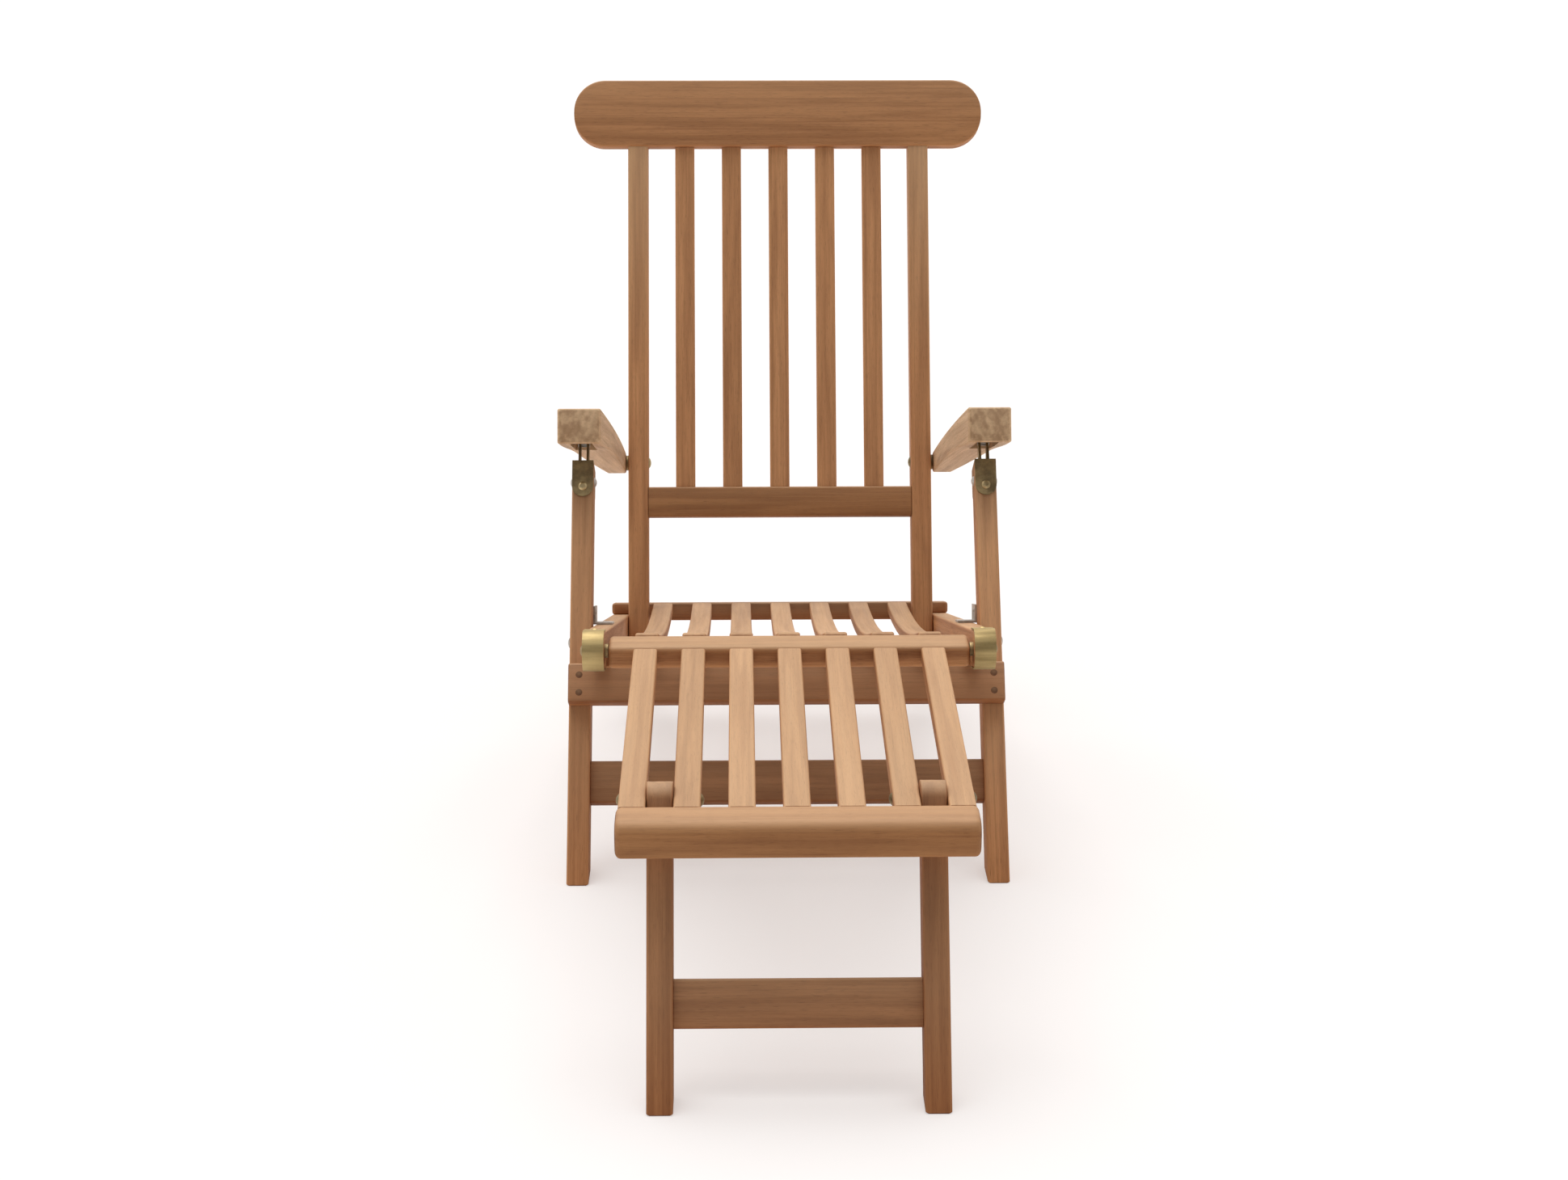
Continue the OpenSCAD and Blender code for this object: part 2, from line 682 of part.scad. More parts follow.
module catch_bolts() {
    color(STEEL) in_legs() both_sides() translate([0, 0, catch_bolt_up]) {
        headed_bolt(post_in, post_out, bolt_d, nut_d);
        translate([post_in, 0, 0]) mirror([1, 0, 0]) dome(nut_d);
    }
}

// Brackets on the front legs that lie over the rails
bracket_y = rail_top + 2;    // clears the rail when the legs fold
module stop_bracket(side) {
    color(STEEL) in_seat() on_side(side) {
        translate([rail_in + bracket_inset, bracket_y, rail_top + seat_gap]) {
            cube([post_in - rail_in - bracket_inset, bracket_l, bracket_t]);
        }
        translate([post_in - bracket_t, bracket_y, rail_top + seat_gap]) {
            cube([bracket_t, bracket_l, bracket_rise]);
        }
    }
}
module bracket_screws() {
    color(STEEL) in_seat() both_sides() {
        translate([post_in - bracket_t, bracket_y + screw_d / 2 + 1, rail_top + 0.7 * bracket_rise]) {
            mirror([1, 0, 0]) dome(screw_d, screw_h);
        }
    }
}
module leg_pivot_bolts() {
    color(STEEL) in_legs() both_sides() {
        headed_bolt(rail_in - nut_h - bolt_proud, post_out);
        rod(rail_in - nut_h, rail_in - seat_gap, nut_d);
    }
}
module leg_pivot_washers() {
    color(STEEL) in_legs() both_sides() ring(rail_out + seat_gap, post_in, washer_d, bolt_d);
}

// Footrest
module footrest_rear_bar() {
    length = rail_in - foot_gap;
    color(TEAK) in_footrest() difference() {
        translate([0, foot_rear_d / 2 - foot_rear_lead, foot_top + 1 - foot_rear_h / 2]) {
            side_plate(-length, length) round_rect(foot_rear_d, foot_rear_h, foot_rear_r);
        }
        both_sides() bore(length - hinge_bolt_l, length);
    }
}
module footrest_front_bar() {
    color(TEAK) in_footrest() translate([0, foot_front_back - foot_front_d / 2, foot_top + 1 - foot_front_h / 2]) {
        side_plate(-slats_out - foot_front_over, slats_out + foot_front_over) {
            lead_rect(foot_front_d, foot_front_h, foot_edge_r, foot_front_r);
        }
    }
}
module footrest_slat(i) {
    x = (i - (SLATS + 1) / 2) * slat_pitch;
    color(TEAK) in_footrest() difference() {
        translate([x, 0, foot_top - foot_slat_t / 2]) {
            long_board(slat_w, foot_slat_t, foot_front_back, -foot_rear_lead);
        }
        translate([x, -prop_out, -prop_sink]) bore(-slat_w, slat_w);
    }
}
module footrest_leg_bolts() {
    color(BRASS) in_footrest() both_sides() translate([0, -prop_out, -prop_sink]) {
        headed_bolt(slat_pitch * 2 - slat_w / 2, slats_out, bolt_d, nut_d);
        translate([slat_pitch * 2 - slat_w / 2, 0, 0]) mirror([1, 0, 0]) dome(nut_d);
    }
}
module footrest_leg(side) {
    color(TEAK) difference() {
        in_props() on_side(side) difference() {
            union() {
                translate([(prop_in + prop_out_x) / 2, 0, -leg_stock]) linear_extrude(leg_stock) {
                    round_rect(prop_out_x - prop_in, prop_d, edge_r);
                }
                rod(prop_in, prop_out_x, prop_d);
            }
            bore(prop_in, prop_out_x);
        }
        below_floor();
    }
}
module footrest_leg_stretcher() {
    color(TEAK) in_props() translate([0, 0, -prop_rail_drop]) {
        side_plate(-prop_in, prop_in) round_rect(prop_rail_t, prop_rail_h, edge_r);
    }
}

for (side = SIDES) {
    rail(side);
    rail_cap(side);
    stile(side);
    arm(side);
    rack(side);
    front_leg(side);
    saddle(side);
    stop_bracket(side);
    footrest_leg(side);
}
for (i = [1:SLATS]) {
    seat_slat(i);
    footrest_slat(i);
}
for (i = [1:BACK_SLATS]) {
    back_slat(i);
}
seat_front_bar();
seat_rear_bar();
rail_cap_screws();
footrest_hinge_bolts();
back_pivot_bolts();
headboard();
back_bottom_rail();
arm_pivot_bolts();
arm_spacers();
crossbar();
leg_stretcher();
crossbar_plugs();
saddle_screws();
catch_pins();
catch_bolts();
bracket_screws();
leg_pivot_bolts();
leg_pivot_washers();
footrest_rear_bar();
footrest_front_bar();
footrest_leg_bolts();
footrest_leg_stretcher();
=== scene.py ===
"""Looks of a folding teak deck chair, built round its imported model.

Each board is a numpy surface, a rounded section carried along the board's path in the place
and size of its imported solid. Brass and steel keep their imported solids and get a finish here.
Lengths are metres, +Z is up and the footrest points to -Y.
"""

import json
import logging
import math
from dataclasses import dataclass, field
from enum import Enum
from typing import Callable, Sequence

import bpy
import numpy as np
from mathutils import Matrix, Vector


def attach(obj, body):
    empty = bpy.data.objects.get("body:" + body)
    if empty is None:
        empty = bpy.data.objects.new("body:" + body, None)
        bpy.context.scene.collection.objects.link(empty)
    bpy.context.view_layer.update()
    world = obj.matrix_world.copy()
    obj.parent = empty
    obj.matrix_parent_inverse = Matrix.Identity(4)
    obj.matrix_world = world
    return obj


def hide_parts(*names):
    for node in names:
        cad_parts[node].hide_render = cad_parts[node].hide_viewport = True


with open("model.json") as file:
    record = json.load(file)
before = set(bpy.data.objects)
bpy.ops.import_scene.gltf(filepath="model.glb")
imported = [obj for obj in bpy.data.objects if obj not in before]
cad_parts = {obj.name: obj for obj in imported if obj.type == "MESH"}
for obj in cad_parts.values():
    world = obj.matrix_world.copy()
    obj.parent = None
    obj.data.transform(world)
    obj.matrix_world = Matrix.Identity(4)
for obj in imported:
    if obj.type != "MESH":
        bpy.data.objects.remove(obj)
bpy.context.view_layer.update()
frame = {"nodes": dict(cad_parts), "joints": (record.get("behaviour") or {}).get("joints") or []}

LOG = logging.getLogger("deck_chair")
Array = np.ndarray
Pair = tuple[float, float]
Triple = tuple[float, float, float]

MM = 0.001
FOOT_SOFT = 1.5 * MM            # rounding of a leg's foot
ANKLE = 0.9                     # share of a leg above its last ring but one
END_DEPTH = 0.8 * MM            # reach of the end grain behind a board's end
BOARD_SOFT = 0.3 * MM           # rounding of a plain board's ends
END_STATIONS = 6                # rings that round one end of a board
NEAR_HALF = 0.4999              # most that a corner's radius takes of a side
NOSE_ANGLE = math.radians(3)    # where a half-round end's first ring stands
WEAR_AND_HIGHLIGHT_REACH = 0.65               # share of the corner radius painted pale, as wear and as a painted highlight
GRAIN_SHIFT = (40.0, 9.0)       # most that a board's grain is moved, along and across
TINT_SPREAD = 0.45              # strongest tint of a board
TINT_SEED = 500                 # keeps the tints' draws apart from the grain's
SHARP_ANGLE = math.radians(32)  # edges bent by more are shaded as sharp
WELD_REACH = 1e-6               # packed points this close become one
BEVEL_WIDTH = 0.4 * MM
BEVEL_ANGLE = math.radians(40)


class Side(Enum):
    """The two sides of the chair, valued with the sign of their X."""

    LEFT = -1
    RIGHT = 1

    @property
    def word(self) -> str:
        """The side's name as the nodes spell it."""
        return self.name.lower()


class Tone(Enum):
    """Shades of teak seen on the chair, as linear base colours of the early wood, one of them
    darkened as painted shade.
    """

    PALE = (0.72, 0.48, 0.28)
    HONEY = (0.52, 0.232, 0.089)
    WARM = (0.575, 0.258, 0.102)
    AMBER = (0.39, 0.170, 0.060)
    # painted shade: a darker teak for the parts that sit in shade low in the chair
    DEEP = (0.37, 0.143, 0.050)
    PLUG = (0.20, 0.080, 0.032)


# Shader helpers


@dataclass
class Value:
    """A socket of a shader graph that can be used in sums and products.

    Args:
        graph: The graph the socket belongs to.
        socket: The output socket, or a plain number.
    """

    graph: "Graph"
    socket: object

    def _math(self, operation: str, *others: object) -> "Value":
        """Adds one Math node on this value and the others."""
        inputs = [self.socket] + [o.socket if isinstance(o, Value) else o for o in others]
        return self.graph.node("ShaderNodeMath", {"operation": operation}, dict(enumerate(inputs)))

    def __add__(self, other: object) -> "Value":
        """Sum."""
        return self._math("ADD", other)

    __radd__ = __add__

    def __sub__(self, other: object) -> "Value":
        """Difference."""
        return self._math("SUBTRACT", other)

    def __rsub__(self, other: object) -> "Value":
        """Difference, reflected."""
        return Value(self.graph, other)._math("SUBTRACT", self)

    def __mul__(self, other: object) -> "Value":
        """Product."""
        return self._math("MULTIPLY", other)

    __rmul__ = __mul__

    def power(self, exponent: float) -> "Value":
        """This value raised to a power."""
        return self._math("POWER", exponent)

    def sine(self) -> "Value":
        """Sine of this value, in radians."""
        return self._math("SINE")

    def step(self, low: float, high: float) -> "Value":
        """0 below low, 1 above high and a smooth rise between them."""
        return self.graph.node(
            "ShaderNodeMapRange", {"interpolation_type": "SMOOTHSTEP"},
            {"Value": self.socket, "From Min": low, "From Max": high},
        )


class Graph:
    """A node tree, with a single method that makes every node."""

    def __init__(self, owner: bpy.types.ID) -> None:
        """Empties the tree of a material or a world."""
        owner.use_nodes = True
        self.tree = owner.node_tree
        self.tree.nodes.clear()

    def node(self, kind: str, settings: dict, inputs: dict, output: object = 0) -> Value:
        """Adds a node.

        Args:
            kind: The node's type name.
            settings: Attributes of the node, which are set first.
            inputs: Socket name or number to a value or a linked Value.
            output: Name or number of the socket that is returned.

        Returns:
            The chosen output as a Value.
        """
        made = self.tree.nodes.new(kind)
        for key, setting in settings.items():
            setattr(made, key, setting)
        for key, item in inputs.items():
            self.feed(made.inputs[key], item)
        return Value(self, made.outputs[output] if made.outputs else None)

    def feed(self, socket: bpy.types.NodeSocket, item: object) -> None:
        """Links or sets one input socket."""
        source = item.socket if isinstance(item, Value) else item
        if isinstance(source, bpy.types.NodeSocket):
            self.tree.links.new(source, socket)
        elif isinstance(source, tuple) and socket.type == "RGBA" and len(source) == 3:
            socket.default_value = (*source, 1.0)
        else:
            socket.default_value = source

    def attribute(self, name: str, output: str) -> Value:
        """Reads a mesh attribute."""
        return self.node("ShaderNodeAttribute", {"attribute_name": name}, {}, output)

    def stretched(self, vector: Value, scale: Triple, offset: Triple = (0, 0, 0)) -> Value:
        """A vector scaled along its axes, to draw a pattern out along the grain."""
        return self.node(
            "ShaderNodeMapping", {}, {"Vector": vector, "Scale": scale, "Location": offset}
        )

    def noise(self, vector: Value, scale: float, detail: float, rough: float = 0.5) -> Value:
        """Smooth noise: scale cells in one unit, and detail finer layers of weight rough."""
        inputs = {"Vector": vector, "Scale": scale, "Detail": detail, "Roughness": rough}
        return self.node("ShaderNodeTexNoise", {}, inputs)

    def mix(self, factor: object, first: object, second: object, blend: str = "MIX") -> Value:
        """Mixes two colours."""
        mixed = self.tree.nodes.new("ShaderNodeMix")
        mixed.data_type = "RGBA"
        mixed.blend_type = blend
        self.feed(mixed.inputs["Factor"], factor)
        for socket, item in zip([s for s in mixed.inputs if s.type == "RGBA"], (first, second)):
            self.feed(socket, item)
        return Value(self, next(s for s in mixed.outputs if s.type == "RGBA"))


class Surface(Graph):
    """The graph of one material round a single Principled shader."""

    def __init__(self, name: str) -> None:
        """Starts a material with the shader on its output."""
        self.material = bpy.data.materials.new(name)
        super().__init__(self.material)
        shown = self.node("ShaderNodeBsdfPrincipled", {}, {})
        self.shader = shown.socket.node
        self.node("ShaderNodeOutputMaterial", {}, {"Surface": shown})

    def set(self, **inputs: object) -> None:
        """Feeds the Principled shader; underscores stand for spaces."""
        for key, item in inputs.items():
            self.feed(self.shader.inputs[key.replace("_", " ")], item)

    def bump(self, height: Value, distance: float, strength: float = 1.0) -> None:
        """Feeds the shader's normal from a height in units of distance."""
        self.set(Normal=self.node(
            "ShaderNodeBump", {}, {"Height": height, "Distance": distance, "Strength": strength}
        ))


# Finishes


@dataclass(frozen=True)
class Pattern:
    """One layer of the wood's figure: noise drawn out along the grain.

    Args:
        scale: Cells in a metre along, across and through the board.
        detail: Number of finer layers of the noise.
        rough: Weight of each finer layer.
        shift: Keeps the noise apart from the other patterns'.
        window: Noise values between which the mask rises from 0 to 1.
        strength: How far the mask takes the colour.
    """

    scale: Triple
    detail: float
    rough: float = 0.5
    shift: Triple = (0, 0, 0)
    window: Pair = (0.0, 1.0)
    strength: float = 1.0

    def noise(self, g: Graph, grain: Value) -> Value:
        """The noise at a board's grain coordinates."""
        return g.noise(g.stretched(grain, self.scale, self.shift), 1.0, self.detail, self.rough)


WANDER = Pattern((2.4, 11.0, 11.0), 2.0)
FIGURE = Pattern((3.2, 70.0, 70.0), 3.0, 0.55, (5, 8, 1), (0.42, 0.66), 0.50)
STREAKS = Pattern((6.0, 260.0, 260.0), 4.0, 0.65, window=(0.46, 0.70), strength=0.27)
LINES = Pattern((2.2, 330.0, 330.0), 2.0, 0.6, (2, 6, 3), (0.575, 0.625), 0.26)
FIBRES = Pattern((30.0, 1600.0, 1600.0), 3.0, 0.6, window=(0.45, 0.80), strength=0.22)
PORES = Pattern((75.0, 2300.0, 2300.0), 1.0, shift=(3, 1, 7), window=(0.60, 0.72), strength=0.45)
PATCHES = Pattern((1.8, 8.0, 8.0), 2.0, shift=(9, 2, 4), window=(0.35, 0.68), strength=0.45)


def shaded(colour: Triple, share: object) -> Triple:
    """A colour with its channels multiplied by one share or by three, and held under 1."""
    shares = share if isinstance(share, tuple) else (share,) * 3
    return tuple(min(1.0, c * k) for c, k in zip(colour, shares))


@dataclass(frozen=True)
class TeakFinish:
    """Oiled teak: growth bands, long streaks, short dark pores, edges pale from wear and a painted
    highlight, end grain, and painted light on faces that look up.

    The attribute grain holds a board's own coordinates along, across and through, in metres,
    moved apart from board to board. sky marks faces that look up, which get painted light from
    above; edge marks the rounded edges, painted pale as wear and as a painted highlight; cut marks
    end grain, and tint how dark the board is among its neighbours.

    Args:
        name: Name of the material.
        tone: Colour of the early wood.
        sheen: Roughness without any pattern.
        bleach: Colour painted on faces that look up, a painted light from above.
        end_depth: Darkening of end grain, before its rings and mottles.
        slot: Material slot of the boards; not used.
    """

    name: str
    tone: Tone
    sheen: float = 0.50
    bleach: Triple = (0.60, 0.43, 0.26)
    end_depth: float = 0.36
    slot: str = "teak"

    late_wood = (0.50, 0.40, 0.33)
    sapwood = (1.22, 1.34, 1.48)
    weathered = (0.70, 0.66, 0.62)
    pore_shade = 0.35
    end_shade = 0.62
    ring_tilt = 0.45
    ring_rate = 330.0
    ring_wander = 34.0
    ring_strength = 0.20
    # window and strength of the pale edges, which are wear and a painted highlight
    worn_window = (0.30, 0.60)
    worn_strength = 0.42
    # strength of the painted light on faces that look up, and how much less it is where the figure
    # is dark
    bleach_strength = (0.62, 0.30)
    pith_depth = 0.02
    end_rate = 850.0
    end_wander = 30.0
    end_wave = 0.07
    mottle_window = (0.38, 0.64)
    mottle_strength = 0.26
    relief = 0.22 * MM

    def build(self) -> bpy.types.Material:
        """Returns the finished material."""
        g = Surface(self.name)
        grain = g.attribute("grain", "Vector")
        across, through = (
            g.node("ShaderNodeSeparateXYZ", {}, {"Vector": grain}, axis) for axis in "YZ"
        )
        wander, figure, streaks, lines, fibres, pores, patches = (
            pattern.noise(g, grain)
            for pattern in (WANDER, FIGURE, STREAKS, LINES, FIBRES, PORES, PATCHES)
        )
        lines, pores = lines.step(*LINES.window), pores.step(*PORES.window)
        turns = (across + through * self.ring_tilt) * self.ring_rate + wander * self.ring_wander
        rings = turns.sine() * 0.5 + 0.5
        light = self.tone.value
        dark = tuple(c * k for c, k in zip(light, self.late_wood))
        pale = shaded(light, self.sapwood)
        # edges painted pale: partly wear, partly a painted highlight where a rounded edge catches
        # light
        wear_and_highlight = g.attribute("edge", "Fac") * streaks.step(*self.worn_window)
        most, less = self.bleach_strength
        body = light
        for weight, colour in (
            (patches.step(*PATCHES.window) * PATCHES.strength, pale),
            (figure.step(*FIGURE.window) * FIGURE.strength, dark),
            (rings.power(2.0) * self.ring_strength, dark),
            (streaks.step(*STREAKS.window) * STREAKS.strength, dark),
            (fibres.step(*FIBRES.window) * FIBRES.strength, dark),
            (lines * LINES.strength, dark),
            (pores * PORES.strength, shaded(dark, self.pore_shade)),
            (wear_and_highlight * self.worn_strength, pale),
            # painted light from above: faces that look up are painted paler
            (g.attribute("sky", "Fac") * (most - less * figure), self.bleach),
        ):
            body = g.mix(weight, body, colour)
        body = g.mix(g.attribute("tint", "Fac"), body, g.mix(1.0, body, self.weathered, "MULTIPLY"))
        end = g.attribute("cut", "Fac")
        mottle = figure.step(*self.mottle_window) * self.mottle_strength
        below = through + self.pith_depth
        pith = (across * across + below * below).power(0.5)     # distance from the tree's middle
        growth = (pith * self.end_rate + wander * self.end_wander).sine() * self.end_wave
        depth = self.end_depth + growth + mottle
        body = g.mix(end * depth, body, shaded(dark, self.end_shade))
        g.set(Base_Color=body, Roughness=self.sheen + 0.20 * streaks + 0.10 * pores + 0.15 * end)
        g.set(Specular_IOR_Level=0.28)
        height = rings * 0.10 + streaks * 0.5 + fibres * 0.35 - pores * 0.8 - lines * 0.3
        g.bump(height, self.relief, 0.55)
        return g.material


@dataclass(frozen=True)
class MetalFinish:
    """Weathered cast or turned metal: dull film, rubbed patches and fine scratches.

    Args:
        name: Name of the material.
        bright: Colour of the bare metal.
        tarnish: Colour of its film.
        film: Share of the metal that the film covers, about.
        roughness: Roughness of the bare metal.
        specks: Strength of the small dark specks.
        bands: Clouds of film in a metre along each axis.
    """

    name: str
    bright: Triple
    tarnish: Triple
    film: float
    roughness: float
    specks: float = 0.25
    bands: Triple = (55.0, 55.0, 55.0)

    scratches = (60.0, 900.0, 900.0)
    speck_rate = 420.0
    speck_window = (0.52, 0.72)
    film_window = (0.50, 0.72)
    relief = 0.12 * MM

    def build(self) -> bpy.types.Material:
        """Returns the finished material."""
        g = Surface(self.name)
        place = g.node("ShaderNodeTexCoord", {}, {}, "Object")
        clouds = g.noise(g.stretched(place, self.bands), 1.0, 4.0, 0.6)
        specks = g.noise(place, self.speck_rate, 3.0, 0.7).step(*self.speck_window)
        lines = g.noise(g.stretched(place, self.scratches), 1.0, 2.0)
        low, high = self.film_window
        film = clouds.step(low - self.film * 0.5, high)
        mask = film * (1.0 - self.specks) + specks * self.specks
        g.set(
            Base_Color=g.mix(mask, self.bright, self.tarnish),
            Roughness=self.roughness + 0.22 * mask + 0.10 * lines,
            Metallic=1.0 - 0.25 * mask,
        )
        g.bump(lines * 0.4 + clouds * 0.6, self.relief, 0.5)
        return g.material


HONEY = TeakFinish("teak_honey", Tone.HONEY)
WARM = TeakFinish("teak_warm", Tone.WARM)
PALE = TeakFinish("teak_pale", Tone.PALE, end_depth=0.18)
# its faces that look up get a darker painted light
AMBER = TeakFinish("teak_amber", Tone.AMBER, bleach=(0.58, 0.37, 0.21))
# painted shade, for the rear bar, the crossbar, the stretchers and the footrest's legs
DEEP = TeakFinish("teak_deep", Tone.DEEP)
PLUG = TeakFinish("teak_plug", Tone.PLUG, slot="plug_teak")
BRASS = MetalFinish(
    "brass_weathered", bright=(0.50, 0.38, 0.19), tarnish=(0.13, 0.10, 0.055),
    film=0.6, roughness=0.36,
)
GOLDEN = MetalFinish(
    "brass_rubbed", bright=(0.55, 0.42, 0.20), tarnish=(0.26, 0.19, 0.08),
    film=0.3, roughness=0.46, specks=0.12, bands=(5.0, 12.0, 70.0),
)
SCREW = MetalFinish(
    "brass_screw", bright=(0.62, 0.49, 0.27), tarnish=(0.30, 0.22, 0.11),
    film=0.2, roughness=0.36, specks=0.10,
)
BRONZED = MetalFinish(
    "brass_aged", bright=(0.44, 0.33, 0.17), tarnish=(0.17, 0.12, 0.06),
    film=0.4, roughness=0.45, specks=0.15,
)
STEEL = MetalFinish(
    "steel_plain", bright=(0.62, 0.59, 0.55), tarnish=(0.28, 0.25, 0.22),
    film=0.3, roughness=0.40,
)


# Surfaces


def rounded_section(width: Array, height: Array, radii: Sequence[float], corner: int = 5) -> Array:
    """Points round a rectangle with quarter-circle corners.

    Corner k has its centre at (+-(w/2 - r), +-(h/2 - r)), and its points lie at r from it at
    equal angles of its quarter turn.

    Args:
        width: One width for each station.
        height: One height for each station.
        radii: Radius of the corners (+, +), (-, +), (-, -) and (+, -).
        corner: Points on each corner.

    Returns:
        Array of stations by points by 2.
    """
    turn = np.linspace(0.0, math.pi / 2, corner)
    angle = np.concatenate([turn + k * math.pi / 2 for k in range(4)])
    sign_x = np.repeat([1, -1, -1, 1], corner)
    sign_y = np.repeat([1, 1, -1, -1], corner)
    limit = np.minimum(width, height)[:, None] * NEAR_HALF
    r = np.minimum(np.repeat(radii, corner)[None, :], limit)
    x = sign_x * (width[:, None] / 2 - r) + r * np.cos(angle)
    y = sign_y * (height[:, None] / 2 - r) + r * np.sin(angle)
    return np.stack([x, y], axis=-1)


def grooved(section: Array, centre: Array, width: float, depth: Array) -> Array:
    """Cuts a square groove into the lower side of a section.

    Its four points are held between the corners (-, -) and (+, -), at the lower edge and at
    depth over it, so a depth of 0 leaves the section as it was.
    """
    cut = section.shape[1] * 3 // 4
    low = section[..., 1].min(axis=1)
    corners = section[:, cut - 1, 0], section[:, cut, 0]
    left, right = (np.clip(centre + side * width / 2, *corners) for side in (-1, 1))
    points = [(left, low), (left, low + depth), (right, low + depth), (right, low)]
    groove = np.stack([np.stack(p, axis=-1) for p in points], axis=1)
    return np.concatenate([section[:, :cut], groove, section[:, cut:]], axis=1)


@dataclass
class Loft:
    """A closed skin over rings of points, one ring for each station along a board.

    Args:
        rings: Stations by points by 3, in the chair's frame.
        along: Distance of each station along the board.
        section: Stations by points by 2, in the board's own section.
        rounding: Corner radius, near which the edges are painted pale, as wear and as a painted
            highlight.
    """

    rings: Array
    along: Array
    section: Array
    rounding: float

    def faces(self, first: int = 0) -> list[list[int]]:
        """Quads between rings and one flat face at each end.

        Args:
            first: Number of the loft's first vertex in its mesh.
        """
        rows, points = self.rings.shape[:2]
        row = np.arange(rows - 1)[:, None] * points + first
        here = np.arange(points)[None, :]
        start, after = (row + here).ravel(), (row + (here + 1) % points).ravel()
        quads = np.stack([start, after, after + points, start + points], axis=1).tolist()
        last = first + (rows - 1) * points
        return quads + [list(range(first, first + points))[::-1], list(range(last, last + points))]

    def attributes(self, seed: int) -> tuple[Array, Array, Array]:
        """Grain coordinates, edge wear with a painted highlight, and end grain for every vertex.

        Args:
            seed: Number of the board, which moves its grain away from the others'.

        Returns:
            Grain coordinates by 3, and edge wear with a painted highlight and end grain as 0 or 1.
        """
        rng = np.random.default_rng(seed)
        rows, points = self.rings.shape[:2]
        grain = np.empty((rows, points, 3))
        grain[..., 0] = self.along[:, None] + rng.uniform(0, GRAIN_SHIFT[0])
        grain[..., 1:] = self.section + rng.uniform(0, GRAIN_SHIFT[1], 2)
        size = np.abs(self.section)
        inner = size.max(axis=1, keepdims=True) - size
        edge = np.all(inner < self.rounding * WEAR_AND_HIGHLIGHT_REACH, axis=2).astype(float)
        reach = np.abs(self.along - (self.along.min() + self.along.max()) / 2)
        cut = np.repeat(reach > reach.max() - END_DEPTH, points).astype(float)
        return grain.reshape(-1, 3), edge.ravel(), cut


def placed(name: str, data: bpy.types.ID) -> bpy.types.Object:
    """Puts a mesh, a lamp or a camera into the scene as an object."""
    made = bpy.data.objects.new(name, data)
    bpy.context.scene.collection.objects.link(made)
    return made


def add_layer(mesh: bpy.types.Mesh, name: str, values: Array) -> None:
    """Stores a number or a vector for every vertex as an attribute of the mesh."""
    kind, key = ("FLOAT", "value") if values.ndim == 1 else ("FLOAT_VECTOR", "vector")
    layer = mesh.attributes.new(name, kind, "POINT")
    layer.data.foreach_set(key, values.astype(np.float32).ravel())


def make_piece(
    name: str, lofts: Sequence[Loft], finish: bpy.types.Material, seed: int,
) -> bpy.types.Object:
    """Puts lofts into one mesh object with its finish and its attributes.

    Args:
        name: Name of the object.
        lofts: The closed skins that it is made of.
        finish: Its material.
        seed: Number of the board, for its grain and its tint.

    Returns:
        The object, at the origin, with its place in its mesh.
    """
    vertices, faces, layers = [], [], []
    count = 0
    for loft in lofts:
        vertices.append(loft.rings.reshape(-1, 3))
        faces += loft.faces(count)
        layers.append(loft.attributes(seed))
        count += len(vertices[-1])
    mesh = bpy.data.meshes.new(name)
    mesh.from_pydata(np.concatenate(vertices).tolist(), [], faces)
    tint = np.random.default_rng(seed + TINT_SEED).uniform(0.0, TINT_SPREAD)
    for key, values in zip(("grain", "edge", "cut"), zip(*layers)):
        add_layer(mesh, key, np.concatenate(values))
    add_layer(mesh, "tint", np.full(count, tint))
    mesh.update()
    if signed_volume(mesh) < 0:
        mesh.flip_normals()
    normals = np.empty(3 * count)
    mesh.vertex_normals.foreach_get("vector", normals)
    # how far each vertex faces up, for the painted light from above
    add_layer(mesh, "sky", eased(normals[2::3]))
    mesh.materials.append(finish)
    piece = placed(name, mesh)
    mesh.shade_smooth()
    mesh.set_sharp_from_angle(angle=SHARP_ANGLE)
    return piece


def signed_volume(mesh: bpy.types.Mesh) -> float:
    """Volume inside a closed mesh, negative if its faces look inwards.

    It sums p . (a x b) / 6 over the mesh's triangles.
    """
    mesh.calc_loop_triangles()
    points = np.empty(len(mesh.vertices) * 3)
    mesh.vertices.foreach_get("co", points)
    corners = np.empty(len(mesh.loop_triangles) * 3, dtype=np.int32)
    mesh.loop_triangles.foreach_get("vertices", corners)
    a, b, c = points.reshape(-1, 3)[corners.reshape(-1, 3)].transpose(1, 0, 2)
    return float(np.einsum("ij,ij->", a, np.cross(b, c)) / 6)


